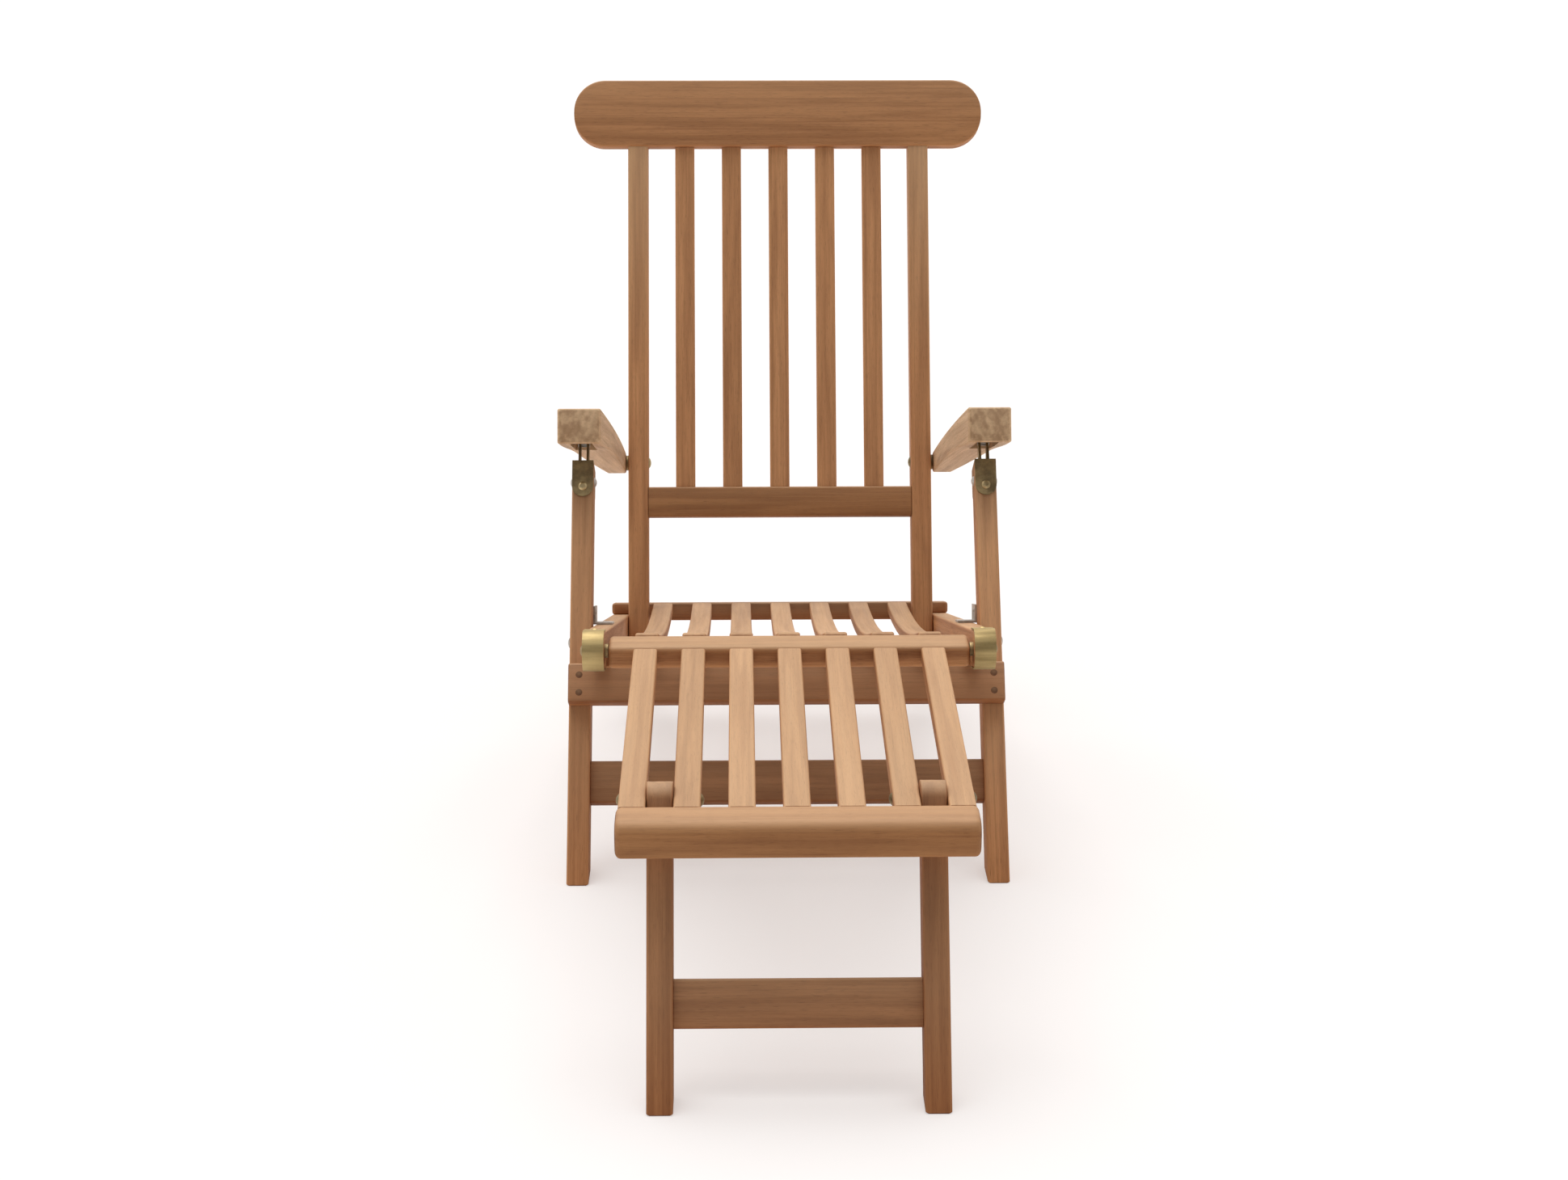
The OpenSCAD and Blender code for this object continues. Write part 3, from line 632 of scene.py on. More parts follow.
@dataclass(frozen=True)
class Pose:
    """A leaning frame of the side view: its origin and its turn about X.

    Args:
        y: Place of the origin along the chair.
        z: Height of the origin.
        turn: Right-handed turn about X, in degrees.
    """

    y: float
    z: float
    turn: float

    @classmethod
    def at(cls, joint: str, turn: float) -> "Pose":
        """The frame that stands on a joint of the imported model."""
        place = next(j for j in frame["joints"] if j["name"] == joint)["pos_m"]
        return cls(place[1], place[2], turn)

    @property
    def rearward(self) -> Array:
        """The frame's own +Y in the chair's frame."""
        a = math.radians(self.turn)
        return np.array([0.0, math.cos(a), math.sin(a)])

    @property
    def upward(self) -> Array:
        """The frame's own +Z in the chair's frame."""
        a = math.radians(self.turn)
        return np.array([0.0, -math.sin(a), math.cos(a)])

    def place(self, x: Array, y: Array, z: Array) -> Array:
        """Carries points of this frame into the chair's frame."""
        x, y, z = np.broadcast_arrays(np.asarray(x, float), y, z)
        place = np.array([0.0, self.y, self.z]) + x[..., None] * np.array([1.0, 0.0, 0.0])
        return place + y[..., None] * self.rearward + z[..., None] * self.upward


def eased(t: Array) -> Array:
    """Smooth rise from 0 to 1: 3 t^2 - 2 t^3, held outside that range."""
    t = np.clip(t, 0.0, 1.0)
    return t * t * (3 - 2 * t)


def end_rounding(length: float, soft: float) -> tuple[Array, Array]:
    """Stations along a straight board whose two ends are rounded off.

    At an angle a of a quarter turn the section is drawn in by soft (1 - sin a) and stands
    soft (1 - cos a) from the end. A last station just behind the rounding closes the end grain.

    Args:
        length: Length of the board.
        soft: Radius of the rounding.

    Returns:
        Distances along the board, and how far each section is drawn in.
    """
    a = np.linspace(0.0, math.pi / 2, END_STATIONS - 1)
    near = np.append(soft * (1 - np.cos(a)), soft + END_DEPTH)
    inset = np.append(soft * (1 - np.sin(a)), 0.0)
    return np.r_[near, length - near[::-1]], np.r_[inset, inset[::-1]]


def landed(rings: Array, direction: Array) -> Array:
    """Slides a leg's last ring along the leg to the floor, and the one before it just above."""
    rings = rings.copy()
    for row, height in ((-2, FOOT_SOFT), (-1, 0.0)):
        slide = (height - rings[row][:, 2]) / direction[2]
        rings[row] += slide[:, None] * direction
    return rings


def round_end(radius: float, steps: int = 12) -> tuple[Array, Array]:
    """Stations and depths of a half-round end about a bolt.

    At radius cos a from the bolt the end is 2 radius sin a deep.
    """
    a = np.linspace(NOSE_ANGLE, math.pi / 2, steps)
    return radius * np.cos(a), 2 * radius * np.sin(a)


@dataclass
class Workshop:
    """Keeps the finishes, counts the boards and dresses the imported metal."""

    finishes: dict[str, bpy.types.Material] = field(default_factory=dict)
    count: int = 0

    def finish(self, key: object) -> bpy.types.Material:
        """Builds a finish once and hands it out again."""
        if key.name not in self.finishes:
            self.finishes[key.name] = key.build()
        return self.finishes[key.name]

    def dress(self, nodes: Sequence[str], metal: MetalFinish) -> None:
        """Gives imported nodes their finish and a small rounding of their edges."""
        for node in nodes:
            shown = frame["nodes"][node]
            shown.data.materials.clear()
            shown.data.materials.append(self.finish(metal))
            weld = shown.modifiers.new("weld", "WELD")
            weld.merge_threshold = WELD_REACH
            bevel = shown.modifiers.new("soft_edges", "BEVEL")
            bevel.width = BEVEL_WIDTH
            bevel.segments = 2
            bevel.limit_method = "ANGLE"
            bevel.angle_limit = BEVEL_ANGLE
            LOG.info("%s: %s", node, metal.name)


@dataclass
class Assembly:
    """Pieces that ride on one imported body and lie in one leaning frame.

    Args:
        shop: Makes the boards and gives the metal its finish.
        body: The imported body.
        joint: The joint on which the frame's origin stands.
        turn: Turn of the frame about X, in degrees.
        edge: Rounding of the boards' long edges.
    """

    shop: Workshop
    body: str = ""
    joint: str = ""
    turn: float = 0.0
    edge: float = 3 * MM

    @property
    def pose(self) -> Pose:
        """The frame that the pieces lie in."""
        return Pose.at(self.joint, self.turn)

    def section(self, width: Array, height: Array) -> Array:
        """Sections with the assembly's own edges."""
        return rounded_section(width, height, [self.edge] * 4)

    def straight(
        self, centre: Triple, axis: str, size: Triple, soft: float = BOARD_SOFT,
        radii: Sequence[float] = (),
    ) -> Loft:
        """A straight board along one axis of the frame, with all its edges rounded.

        Args:
            centre: Middle of the board in the frame.
            axis: "x", "y" or "z", the way the board runs.
            size: Its length, and its sizes across in the order of the remaining axes.
            soft: Rounding of its ends.
            radii: Rounding of its four long edges, where it isn't the assembly's own.
        """
        radii = radii or [self.edge] * 4
        along, inset = end_rounding(size[0], soft)
        section = rounded_section(size[1] - 2 * inset, size[2] - 2 * inset, radii)
        run = (along - size[0] / 2)[:, None] * np.ones(section.shape[1])
        first, second = section[..., 0], section[..., 1]
        places = {"x": (run, first, second), "y": (first, run, second), "z": (first, second, run)}
        x, y, z = (place + middle for place, middle in zip(places[axis], centre))
        return Loft(self.pose.place(x, y, z), along, section, max(radii))

    def board(self, node: str, teak: TeakFinish, *lofts: Loft) -> None:
        """Makes the piece that stands for a packed board and rides on its body."""
        self.shop.count += 1
        piece = make_piece(node + "_board", lofts, self.shop.finish(teak), self.shop.count)
        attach(piece, self.body)
        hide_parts(node)
        LOG.info("%s: %d faces on %s", piece.name, len(piece.data.polygons), self.body)

    def stand(
        self, name: str, teak: TeakFinish, middle: float, tops: Array, depths: Array, width: float,
    ) -> None:
        """Makes two legs that run down the frame's -Z and are cut level with the floor.

        Their last two rings are put near the foot here, and landed slides them to their places.

        Args:
            name: Start of the nodes' names.
            teak: Finish of the legs.
            middle: Distance of their middles from the chair's middle.
            tops: Heights of the stations over the frame's origin, from the top down.
            depths: Depth of a leg at each of them.
            width: Thickness of a leg across the chair.
        """
        pose = self.pose
        foot = -pose.z / pose.upward[2]
        z = np.r_[tops, foot * ANKLE, foot]
        across = np.full(len(z), width)
        across[-1] -= 2 * FOOT_SOFT
        section = self.section(across, np.r_[depths, depths[-1], depths[-1] - 2 * FOOT_SOFT])
        for side in Side:
            x = section[..., 0] + side.value * middle
            rings = landed(pose.place(x, section[..., 1], z[:, None]), -pose.upward)
            self.board(f"{name}_{side.word}", teak, Loft(rings, -z, section, self.edge))

    def row(self, name: str, teak: TeakFinish, pitch: float, make: Callable[[float], Loft],
            count: int) -> None:
        """Makes a row of numbered slats, from left to right about the middle.

        Args:
            name: Start of the nodes' names.
            teak: Finish of the slats.
            pitch: Distance between their middles.
            make: Gives the slat whose middle stands at an x.
            count: Number of slats.
        """
        for i in range(1, count + 1):
            self.board(f"{name}_{i}", teak, make((i - (count + 1) / 2) * pitch))


@dataclass
class SeatFrame(Assembly):
    """Side rails, bars and dished slats, with the brass caps and the hinge bolts."""

    body: str = "seat_frame"
    joint: str = "leg_fold"
    turn: float = -15.0
    rail_in: float = 224 * MM
    rail_w: float = 26 * MM
    rail_d: float = 46 * MM
    rail_front: float = 240 * MM
    rail_straight: float = 548 * MM
    bend_r: float = 600 * MM
    bend_angle: float = 14.0
    slat_w: float = 29 * MM
    slat_pitch: float = 58 * MM
    slat_t: float = 15 * MM
    dish: float = 17 * MM
    lead: float = -199 * MM
    lead_top: float = 20 * MM
    front_bar: Pair = (40 * MM, 28 * MM)
    front_fall: float = 3 * MM
    bar_face: float = 495 * MM
    rear_bar: Pair = (40 * MM, 26 * MM)
    rear_rise: float = 17 * MM
    end_r: float = 7 * MM
    slats: int = 7

    run = (-180 * MM, 480 * MM)     # stretch of the rail between its nose and its bend
    run_rings, bend_rings, arc_rings = 5, 12, 21
    leg_rings = (0.02, 0.07, 0.20, 0.21)    # metres down the rail behind its bend
    arc_share = 0.9                 # share of a slat's arc that is spaced evenly
    nose_taper, rear_taper = 0.6, 0.1       # a slat's ends: width to height, rear to front
    rear_soft = 4 * MM

    def rail(self, side: Side) -> Loft:
        """One rail: a round nose, a straight run, an arc and a leg cut level with the floor.

        On the bend the centre line is an arc of radius R: from the bend's start it stands at
        (R sin a, R cos a - R), and the section turns with it by a.
        """
        reach, depth = round_end(self.rail_d / 2)
        bend = math.radians(self.bend_angle)
        a = np.r_[np.linspace(0, bend, self.bend_rings), [bend] * len(self.leg_rings)]
        down = np.r_[np.zeros(self.bend_rings), self.leg_rings]
        ahead = np.r_[-self.rail_front - reach, np.linspace(*self.run, self.run_rings)]
        flat = np.zeros(len(ahead))
        y = np.r_[ahead, self.rail_straight + self.bend_r * np.sin(a) + down * np.cos(a)]
        z = np.r_[flat, self.bend_r * (np.cos(a) - 1) - down * np.sin(a)]
        tilt = np.r_[flat, a][:, None]
        height = np.r_[depth, np.full(len(y) - len(depth), self.rail_d)]
        width = np.full(len(y), self.rail_w)
        height[-1] -= 2 * FOOT_SOFT
        width[-1] -= 2 * FOOT_SOFT
        section = self.section(width, height)
        across, up = section[..., 0], section[..., 1]
        rings = self.pose.place(
            across + side.value * (self.rail_in + self.rail_w / 2),
            y[:, None] + up * np.sin(tilt), z[:, None] + up * np.cos(tilt),
        )
        fall = math.radians(self.bend_angle - self.turn)
        rings = landed(rings, np.array([0.0, math.cos(fall), -math.sin(fall)]))
        along = np.cumsum(np.hypot(np.gradient(y), np.gradient(z)))
        return Loft(rings, along, section, self.edge)

    @property
    def high(self) -> float:
        """Height of the rear bar's top over the rails' axis."""
        return self.rail_d / 2 + self.rear_rise

    def slat(self, middle: float) -> Loft:
        """One seat slat on the arc of the dish.

        The chord c and the dip h give the radius (c^2 / 4 + h^2) / (2 h), and the slat follows
        that circle from the front bar to the rear bar's face. Its front end is rounded over.
        """
        span, rise = self.bar_face - self.lead, self.high - self.lead_top
        chord, tilt = math.hypot(span, rise), math.atan2(rise, span)
        radius = (chord ** 2 / 4 + self.dish ** 2) / (2 * self.dish)
        reach = math.asin(chord / 2 / radius)
        along, inset = end_rounding(2 * radius * reach, self.end_r)
        arc = np.linspace(-self.arc_share, self.arc_share, self.arc_rings) * reach
        a = np.insert(along / radius - reach, END_STATIONS, arc)
        inset = np.insert(inset, END_STATIONS, np.zeros(self.arc_rings))
        inset[-END_STATIONS:] *= self.rear_taper
        centre_y = (self.bar_face + self.lead) / 2 - (radius - self.dish) * math.sin(tilt)
        centre_z = (self.high + self.lead_top) / 2 + (radius - self.dish) * math.cos(tilt)
        width = self.slat_w - self.nose_taper * inset
        section = self.section(width, self.slat_t - 2 * inset)
        across, up = section[..., 0], section[..., 1]
        r = radius + self.slat_t / 2 - up
        y = np.clip(centre_y + r * np.sin(a + tilt)[:, None], self.lead, self.bar_face)
        z = centre_z - r * np.cos(a + tilt)[:, None]
        return Loft(self.pose.place(across + middle, y, z), radius * a, section, self.edge)

    def rear(self) -> Loft:
        """The rear bar, whose ends are cut away below to lie on the rails."""
        half = self.rail_in + self.rail_w
        x, inset = end_rounding(2 * half, self.rear_soft)
        x = np.insert(x - half, END_STATIONS, [-self.rail_in] * 2 + [self.rail_in] * 2)
        inset = np.insert(inset, END_STATIONS, [0.0] * 4)
        cut = np.ones(len(x))
        cut[END_STATIONS + 1:END_STATIONS + 3] = 0.0
        drop = cut * (self.rear_bar[1] - self.rear_rise)
        deep, tall = self.rear_bar
        section = self.section(deep - 2 * inset, tall - drop - 2 * inset)
        y = section[..., 0] + self.bar_face + deep / 2
        z = section[..., 1] + (self.high - (tall - drop) / 2)[:, None]
        return Loft(self.pose.place(x[:, None], y, z), x, section, self.edge)

    def front(self) -> Loft:
        """The front bar, whose top slopes with the slats' underside."""
        deep, tall = self.front_bar
        height = np.full(2, tall - self.front_fall)
        section = self.section(np.full(2, deep), height)
        across, up = section[..., 0], section[..., 1]
        up = up + np.where(up > 0, self.front_fall * (0.5 - across / deep), 0.0)
        x = np.array([-self.rail_in, self.rail_in])
        y = across + self.lead + deep / 2
        z = up + self.lead_top - self.slat_t - (tall + self.front_fall) / 2
        return Loft(self.pose.place(x[:, None], y, z), x, section, self.edge)

    def build(self) -> None:
        """Makes every piece of the seat frame."""
        for side in Side:
            self.board("rail_" + side.word, WARM, self.rail(side))
        self.row("seat_slat", HONEY, self.slat_pitch, self.slat, self.slats)
        # the rear bar sits in shade and is given painted shade
        self.board("seat_rear_bar", DEEP, self.rear())
        self.board("seat_front_bar", WARM, self.front())
        self.shop.dress(["rail_cap_left", "rail_cap_right", "rail_cap_screws"], GOLDEN)
        self.shop.dress(["footrest_hinge_bolts"], BRONZED)


@dataclass
class Back(Assembly):
    """Stiles, headboard, bottom rail and slats, which recline together."""

    body: str = "back_frame"
    joint: str = "recline"
    turn: float = -21.0
    stile_in: float = 193.5 * MM
    stile_w: float = 29.5 * MM
    stile_d: float = 40 * MM
    head_low: float = 721 * MM
    head: Triple = (606 * MM, 22 * MM, 100 * MM)
    head_r: float = 46 * MM
    low_rail: float = 167 * MM
    rail: Pair = (22 * MM, 44 * MM)
    slat: Pair = (28.5 * MM, 12 * MM)
    slats: int = 5
    stile_short: float = 12 * MM

    stile_rings = (0.1, 0.4)        # metres above the hinge
    head_rings, head_straight = 16, 0.1

    def stile(self, side: Side) -> Loft:
        """One stile: a round foot about the hinge and a lap behind the headboard.

        Above the headboard's lower edge only the rear half of the depth is left.
        """
        reach, foot = round_end(self.stile_d / 2)
        top = self.head_low + self.head[2] - self.stile_short
        z = np.r_[-reach, self.stile_rings, [self.head_low] * 2, top - FOOT_SOFT, top]
        half = self.stile_d / 2
        depth = np.r_[foot, [self.stile_d] * 3, [half] * 3]
        shift = np.r_[np.zeros(len(reach) + 3), [half / 2] * 3]
        width = np.full(len(z), self.stile_w)
        width[-1] -= 2 * FOOT_SOFT
        depth[-1] -= 2 * FOOT_SOFT
        section = self.section(width, depth)
        middle = side.value * (self.stile_in + self.stile_w / 2)
        x, y = section[..., 0] + middle, section[..., 1] + shift[:, None]
        return Loft(self.pose.place(x, y, z[:, None]), z, section, self.edge)

    def headboard(self) -> Loft:
        """The headboard, whose ends are rounded as quarter circles above and below.

        At L/2 - R + R cos a from the middle its height is H - 2 R (1 - sin a).
        """
        length, thick, height = self.head
        a = np.linspace(0, math.pi / 2, self.head_rings)
        reach = length / 2 - self.head_r * (1 - np.cos(a))
        drop = 2 * self.head_r * (1 - np.sin(a))
        x = np.r_[-reach, -self.head_straight, self.head_straight, reach[::-1]]
        tall = height - np.r_[drop, 0, 0, drop[::-1]]
        section = self.section(np.full(len(x), thick), tall)
        y = section[..., 0] - thick / 2
        z = section[..., 1] + self.head_low + height / 2
        return Loft(self.pose.place(x[:, None], y, z), x, section, self.edge)

    def build(self) -> None:
        """Makes every piece of the back."""
        for side in Side:
            self.board("stile_" + side.word, WARM, self.stile(side))
        self.board("headboard", HONEY, self.headboard())
        y = (self.rail[0] - self.stile_d) / 2
        centre = (0, y, self.low_rail + self.rail[1] / 2)
        rail = self.straight(centre, "x", (2 * self.stile_in, *self.rail))
        self.board("back_bottom_rail", AMBER, rail)
        low = self.low_rail + self.rail[1]
        pitch = (2 * self.stile_in + self.stile_w) / (self.slats + 1)
        size, z = (self.head_low - low, *self.slat), (low + self.head_low) / 2
        slat = lambda x: self.straight((x, y, z), "z", size)
        self.row("back_slat", WARM, pitch, slat, self.slats)
        self.shop.dress(["back_pivot_bolts", "arm_pivot_bolts"], BRASS)
        self.shop.dress(["arm_spacers"], BRONZED)


@dataclass
class LegFrame(Assembly):
    """The crossed front legs with their bars, brass saddles, pins and brackets."""

    body: str = "leg_frame"
    joint: str = "leg_fold"
    turn: float = -33.0
    seat_turn: float = -15.0
    rail_d: float = 46 * MM
    post_in: float = 252 * MM
    post_w: float = 28 * MM
    post_d: float = 45 * MM
    post_top: float = 242 * MM
    crossbar: Pair = (22 * MM, 52 * MM)
    crossbar_gap: float = 0.3 * MM
    stretcher: Pair = (20 * MM, 55 * MM)
    stretcher_drop: float = 187 * MM
    plug: Pair = (5 * MM, 9 * MM)
    plug_out: float = 2.3 * MM
    plug_rises: Pair = (0.25, 0.7)

    post_rings = (0.12, 0.0, -0.15)     # metres above the crossing bolt
    crossbar_soft, plug_soft = 2 * MM, 0.4 * MM

    @property
    def post_mid(self) -> float:
        """Distance of the legs' middles from the chair's middle."""
        return self.post_in + self.post_w / 2

    def plugs(self, front: float, low: float) -> list[Loft]:
        """Turned plugs that stand a little proud of the crossbar's front.

        Args:
            front: Place of the crossbar's front face.
            low: Height of its lower edge.
        """
        thick, wide = self.plug
        places = [
            (side.value * self.post_mid, front + self.plug_out, low + rise * self.crossbar[1])
            for side in Side for rise in self.plug_rises
        ]
        size, radii = (thick, wide, wide), [wide / 2] * 4
        return [self.straight(place, "y", size, self.plug_soft, radii) for place in places]

    def build(self) -> None:
        """Makes every piece of the leg frame.

        The crossbar's front top edge touches the rails' lower face, which leans by a to the
        legs: its height is (y sin a - d/2) / cos a at that edge's y.
        """
        tops = np.array([self.post_top, *self.post_rings])
        depths = np.full(len(tops), self.post_d)
        self.stand("front_leg", WARM, self.post_mid, tops, depths, self.post_w)
        a = math.radians(self.seat_turn - self.turn)
        front = -self.post_d / 2 - self.crossbar[0]
        top = (front * math.sin(a) - self.rail_d / 2) / math.cos(a) - self.crossbar_gap
        centre = (0, front + self.crossbar[0] / 2, top - self.crossbar[1] / 2)
        size = (2 * (self.post_in + self.post_w), *self.crossbar)
        # the crossbar and the stretcher sit in shade and are given painted shade
        self.board("crossbar", DEEP, self.straight(centre, "x", size, self.crossbar_soft))
        self.board("crossbar_plugs", PLUG, *self.plugs(front, top - self.crossbar[1]))
        size = (2 * self.post_in, *self.stretcher)
        bar = self.straight((0, 0, -self.stretcher_drop), "x", size)
        self.board("leg_stretcher", DEEP, bar)
        self.shop.dress(["saddle_left", "saddle_right"], BRONZED)
        self.shop.dress(["saddle_screws"], SCREW)
        steel = [
            "catch_pins", "catch_bolts", "stop_bracket_left", "stop_bracket_right",
            "bracket_screws", "leg_pivot_bolts", "leg_pivot_washers",
        ]
        self.shop.dress(steel, STEEL)


@dataclass
class Arms(Assembly):
    """The two arms, swept outwards and grooved underneath for the toothed racks."""

    body: str = "arms"
    joint: str = "arm_follow"
    edge: float = 2.5 * MM
    legs: LegFrame = field(kw_only=True)
    pin_up: float = 275 * MM
    pin_low: float = 16 * MM
    nose: float = 75 * MM
    inner: float = 227 * MM
    sweep: float = 13 * MM
    bow: float = 5 * MM
    rear: Pair = (28 * MM, 30 * MM)
    front: Pair = (57 * MM, 46 * MM)
    waist: float = 270 * MM
    corner_r: float = 5 * MM
    front_r: float = 4 * MM
    slot: Pair = (29 * MM, 24 * MM)
    slot_wall: float = 5 * MM
    slot_behind: float = 58 * MM

    tail_rings, run_rings, slot_rings, tip_rings = 8, 14, 6, 9
    run_start, slot_gap, tip_gap = 20 * MM, 10 * MM, 4 * MM     # spaces between those groups
    thickest = 1.125                # front radii from the front to where the arm is thickest

    def build(self) -> None:
        """Makes both arms and dresses their racks."""
        bolt = self.pose
        pin = self.legs.pose.place(0.0, 0.0, self.pin_up)
        span = math.hypot(bolt.y - pin[1], pin[2] - bolt.z)
        slope = math.atan2(pin[2] - bolt.z, bolt.y - pin[1]) + math.asin(self.pin_low / span)
        self.turn = -math.degrees(slope)
        along = math.sqrt(span ** 2 - self.pin_low ** 2)
        for side in Side:
            self.board("arm_" + side.word, PALE, self.arm(side, along))
        self.shop.dress(["rack_left", "rack_right"], BRASS)

    def arm(self, side: Side, pin_along: float) -> Loft:
        """One arm, as sections from the bolt's end to the front.

        With t from 0 at the bolt to 1 at the front, the inner side sweeps out by sweep t^2 and
        the outer side bows by bow sin(pi t). At a distance d from the front the plan's corners
        take off R - sqrt(R^2 - (R - d)^2), and the side view's the same with their own radius.
        """
        reach = pin_along + self.nose
        slot_end, slot_start = reach - self.slot_wall, pin_along - self.slot_behind
        rear_r = self.rear[1] / 2
        tail, _ = round_end(rear_r, self.tail_rings)
        tip = self.corner_r * (1 - np.cos(np.linspace(0, math.pi / 2, self.tip_rings)))
        slot_last = reach - self.corner_r - self.tip_gap
        s = np.sort(np.r_[
            -tail, np.linspace(self.run_start, slot_start - self.slot_gap, self.run_rings),
            np.linspace(slot_start + self.slot_gap, slot_last, self.slot_rings),
            reach - tip, [slot_start, slot_end] * 2,
        ])
        groove = np.where((s >= slot_start) & (s <= slot_end), 1.0, 0.0)
        groove[np.flatnonzero(s == slot_start)[0]] = 0.0
        groove[np.flatnonzero(s == slot_end)[-1]] = 0.0
        ahead = np.clip(reach - s, 0, None)
        full = reach - self.thickest * self.front_r
        front_half = self.front[1] / 2
        high = np.interp(s, [0, full], [rear_r, front_half])
        belly = eased((s - self.waist) / (full - self.waist))
        low = -(rear_r + (front_half - rear_r) * belly)
        back = np.sqrt(np.clip(rear_r ** 2 - np.clip(-s, 0, None) ** 2, 1e-8, None))
        high, low = np.where(s < 0, back, high), np.where(s < 0, -back, low)
        nip, cut = (
            r - np.sqrt(r ** 2 - np.clip(r - ahead, 0, None) ** 2)
            for r in (self.front_r, self.corner_r)
        )
        high, low = high - nip, low + nip
        t = np.clip(s / (reach - self.corner_r), 0, 1)
        left = self.inner + self.sweep * t ** 2 + cut
        widened = (self.sweep + self.front[0] - self.rear[0]) * t + self.bow * np.sin(math.pi * t)
        right = self.inner + self.rear[0] + widened - cut
        section = self.section(right - left, high - low)
        middle = (left + right) / 2
        depth = groove * (self.slot[1] - front_half - low)
        section = grooved(section, self.legs.post_mid - middle, self.slot[0], depth)
        x = (section[..., 0] + middle[:, None]) * side.value
        z = section[..., 1] + ((high + low) / 2)[:, None]
        return Loft(self.pose.place(x, -s[:, None], z), s, section, self.edge)


@dataclass
class Footrest(Assembly):
    """The slatted footrest."""

    body: str = "footrest"
    joint: str = "footrest_hinge"
    turn: float = 4.0
    top: float = 8 * MM
    lead: float = 15 * MM
    rear_bar: Triple = (438 * MM, 44 * MM, 28 * MM)
    front_bar: Triple = (381 * MM, 46 * MM, 40 * MM)
    front_back: float = 470 * MM
    slat: Pair = (29 * MM, 20 * MM)
    pitch: float = 58 * MM
    slats: int = 7
    bar_rise: float = 1 * MM

    rear_radii, rear_soft = [6 * MM] * 4, 5 * MM
    front_radii, front_soft = [4 * MM, 12 * MM, 4 * MM, 4 * MM], 6 * MM

    def build(self) -> None:
        """Makes every piece of the footrest."""
        high = self.top + self.bar_rise
        centre = (0, self.rear_bar[1] / 2 - self.lead, high - self.rear_bar[2] / 2)
        rear = self.straight(centre, "x", self.rear_bar, self.rear_soft, self.rear_radii)
        self.board("footrest_rear_bar", HONEY, rear)
        centre = (0, -self.front_back - self.front_bar[1] / 2, high - self.front_bar[2] / 2)
        front = self.straight(centre, "x", self.front_bar, self.front_soft, self.front_radii)
        self.board("footrest_front_bar", AMBER, front)
        size = (self.front_back - self.lead, *self.slat)
        y, z = -(self.front_back + self.lead) / 2, self.top - self.slat[1] / 2
        slat = lambda x: self.straight((x, y, z), "y", size)
        self.row("footrest_slat", HONEY, self.pitch, slat, self.slats)
        self.shop.dress(["footrest_leg_bolts"], BRASS)


@dataclass
class FootrestLegs(Assembly):
    """The footrest's own folding legs."""

    body: str = "footrest_legs"
    joint: str = "footrest_leg_hinge"
    turn: float = -25.0
    x: float = 145 * MM
    leg: Pair = (28 * MM, 40 * MM)
    bar: Pair = (20 * MM, 52 * MM)
    bar_drop: float = 214 * MM

    leg_rings = (-0.1, -0.2)        # metres above the hinge

    def build(self) -> None:
        """Makes the two legs and their stretcher."""
        width, depth = self.leg
        reach, depths = round_end(depth / 2)
        tops = np.r_[reach, self.leg_rings]
        depths = np.r_[depths, [depth] * len(self.leg_rings)]
        # the footrest's legs and their stretcher sit in shade and are given painted shade
        self.stand("footrest_leg", DEEP, self.x, tops, depths, width)
        bar = self.straight((0, 0, -self.bar_drop), "x", (2 * self.x - width, *self.bar))
        self.board("footrest_leg_stretcher", DEEP, bar)


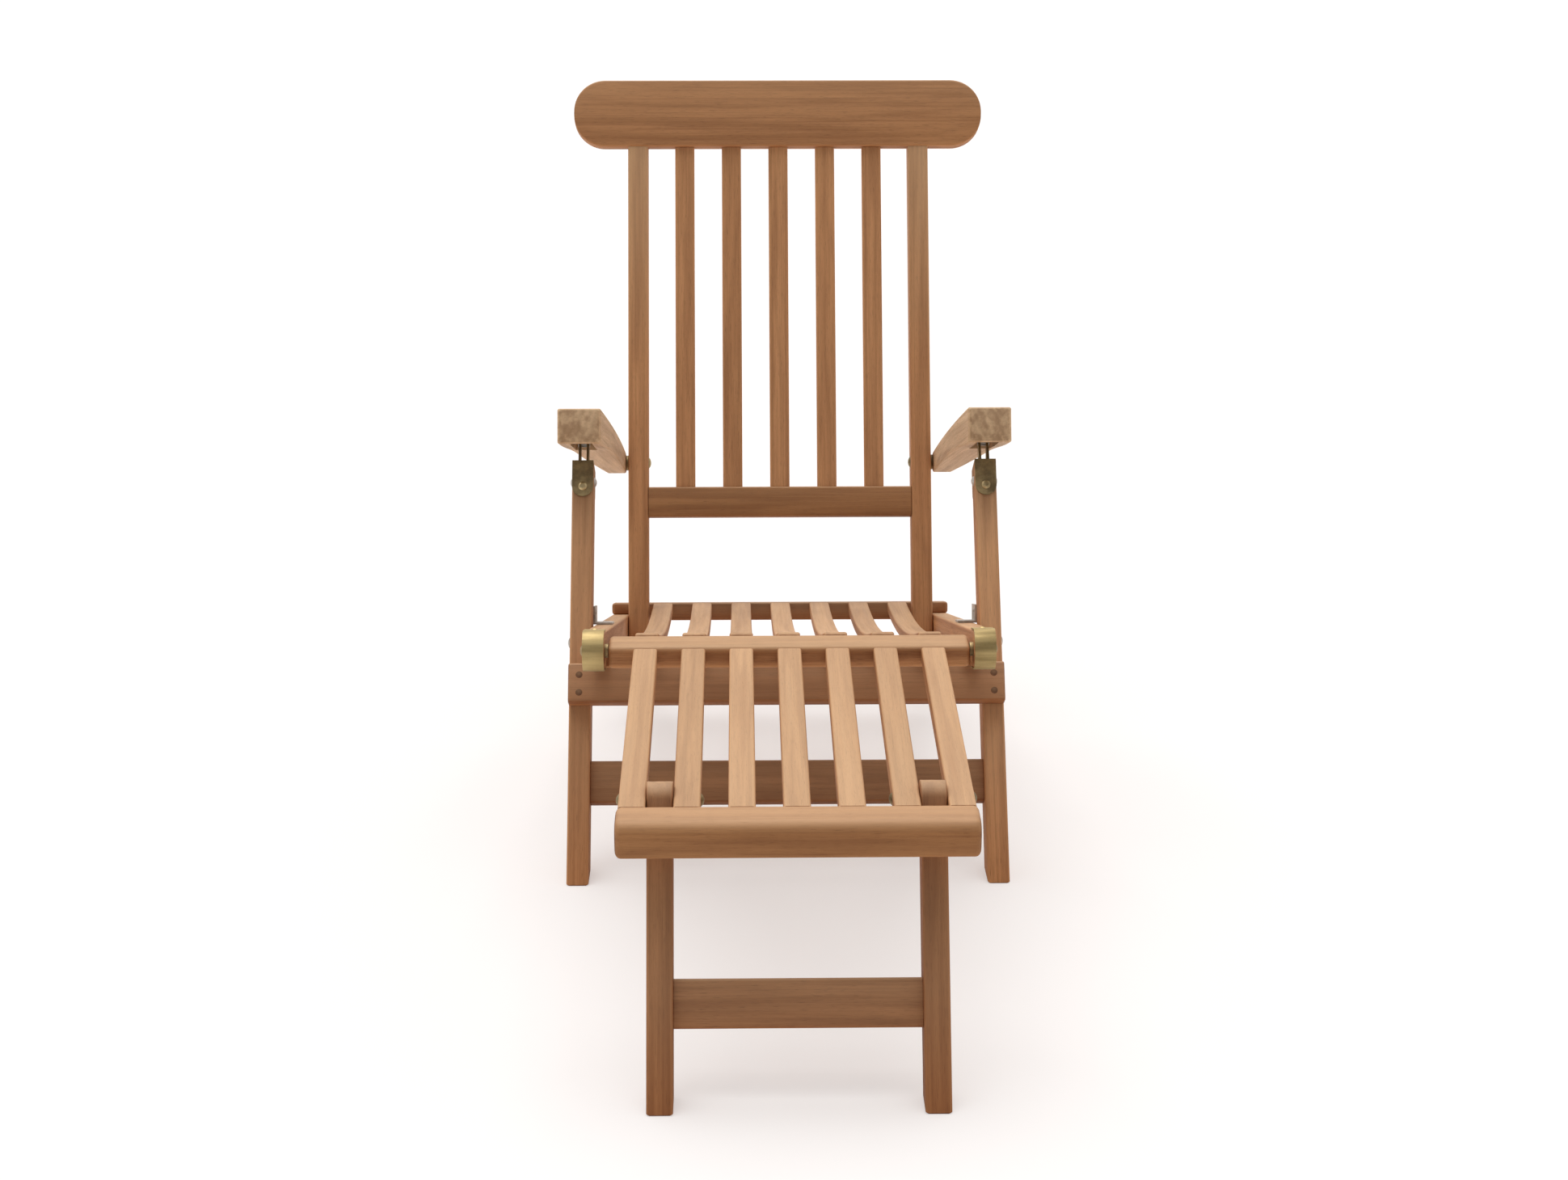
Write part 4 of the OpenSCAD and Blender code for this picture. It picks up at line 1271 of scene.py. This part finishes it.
@dataclass
class Studio:
    """Floor, backdrop, lamps and the camera at the photograph's angle."""

    focal_px: float = 3300.0
    frame_px: float = 1940.0
    sensor: float = 36.0
    pitch: float = 16.1
    yaw: float = 0.96
    eye: Triple = (-0.058, -3.327, 1.29)
    floor_reach: float = 40.0
    floor_lit: Triple = (0.80, 0.78, 0.76)
    floor_seen: Triple = (0.44, 0.44, 0.44)
    floor_glow: Triple = (0.48, 0.445, 0.43)
    daylight: Triple = (1.0, 0.985, 0.965)
    dim_bright: Pair = (0.30, 0.75)
    dim_window: Pair = (-0.7, 0.3)
    sun_aim: Triple = (0.10, -0.30, -1.0)
    sun_strength: float = 2.6
    sun_spread: float = 60.0

    def camera(self) -> None:
        """Sets the camera where the photograph was taken from."""
        data = bpy.data.cameras.new("photo_camera")
        data.sensor_width = self.sensor
        data.lens = self.focal_px / self.frame_px * self.sensor
        eye = placed("photo_camera", data)
        eye.location = self.eye
        eye.rotation_euler = (math.radians(90 - self.pitch), 0.0, math.radians(-self.yaw))
        bpy.context.scene.camera = eye

    def floor(self) -> None:
        """A wide pale floor: white to the camera, but for a light shadow, and a source of light."""
        g = Surface("floor_pale")
        seen = g.node("ShaderNodeLightPath", {}, {}, "Is Camera Ray")
        g.set(Base_Color=g.mix(seen, self.floor_lit, self.floor_seen), Roughness=0.9)
        g.set(Emission_Color=g.mix(seen, (0.0, 0.0, 0.0), self.floor_glow), Emission_Strength=1.0)
        g.set(Specular_IOR_Level=0.0)
        size = self.floor_reach
        mesh = bpy.data.meshes.new("floor")
        corners = [(-size, -size, 0), (size, -size, 0), (size, size, 0), (-size, size, 0)]
        mesh.from_pydata(corners, [], [(0, 1, 2, 3)])
        mesh.materials.append(g.material)
        placed("floor", mesh)

    def sky(self) -> None:
        """A white backdrop for the camera, and a studio that is dimmer in front of the chair."""
        world = bpy.data.worlds.new("studio")
        g = Graph(world)
        seen = g.node("ShaderNodeLightPath", {}, {}, "Is Camera Ray")
        way = g.node("ShaderNodeTexCoord", {}, {}, "Generated")
        rearward = g.node("ShaderNodeSeparateXYZ", {}, {"Vector": way}, "Y")
        dim, bright = (
            g.node("ShaderNodeBackground", {}, {"Color": self.daylight, "Strength": strength})
            for strength in self.dim_bright
        )
        behind = rearward.step(*self.dim_window)
        lights = g.node("ShaderNodeMixShader", {}, {0: behind, 1: dim, 2: bright})
        shown = g.node("ShaderNodeBackground", {}, {"Color": (1.0, 1.0, 1.0)})
        mixed = g.node("ShaderNodeMixShader", {}, {0: seen, 1: lights, 2: shown})
        g.node("ShaderNodeOutputWorld", {}, {"Surface": mixed})
        bpy.context.scene.world = world

    def lamp(self) -> None:
        """A distant lamp that lights the floor evenly; its wide spread softens the shadow."""
        data = bpy.data.lights.new("key", "SUN")
        data.energy = self.sun_strength
        data.angle = math.radians(self.sun_spread)
        aim = Vector(self.sun_aim).to_track_quat("-Z", "Y")
        placed("key", data).rotation_euler = aim.to_euler()

    def build(self) -> None:
        """Makes the studio."""
        self.camera()
        self.floor()
        self.sky()
        self.lamp()
        bpy.context.scene.view_settings.view_transform = "Standard"


def main() -> None:
    """Builds the chair piece by piece, then the studio."""
    logging.basicConfig(level=logging.INFO, format="%(name)s %(message)s")
    shop = Workshop()
    Studio().build()
    SeatFrame(shop).build()
    Back(shop).build()
    legs = LegFrame(shop)
    legs.build()
    Arms(shop, legs=legs).build()
    Footrest(shop).build()
    FootrestLegs(shop).build()


if __name__ == "__main__":
    main()
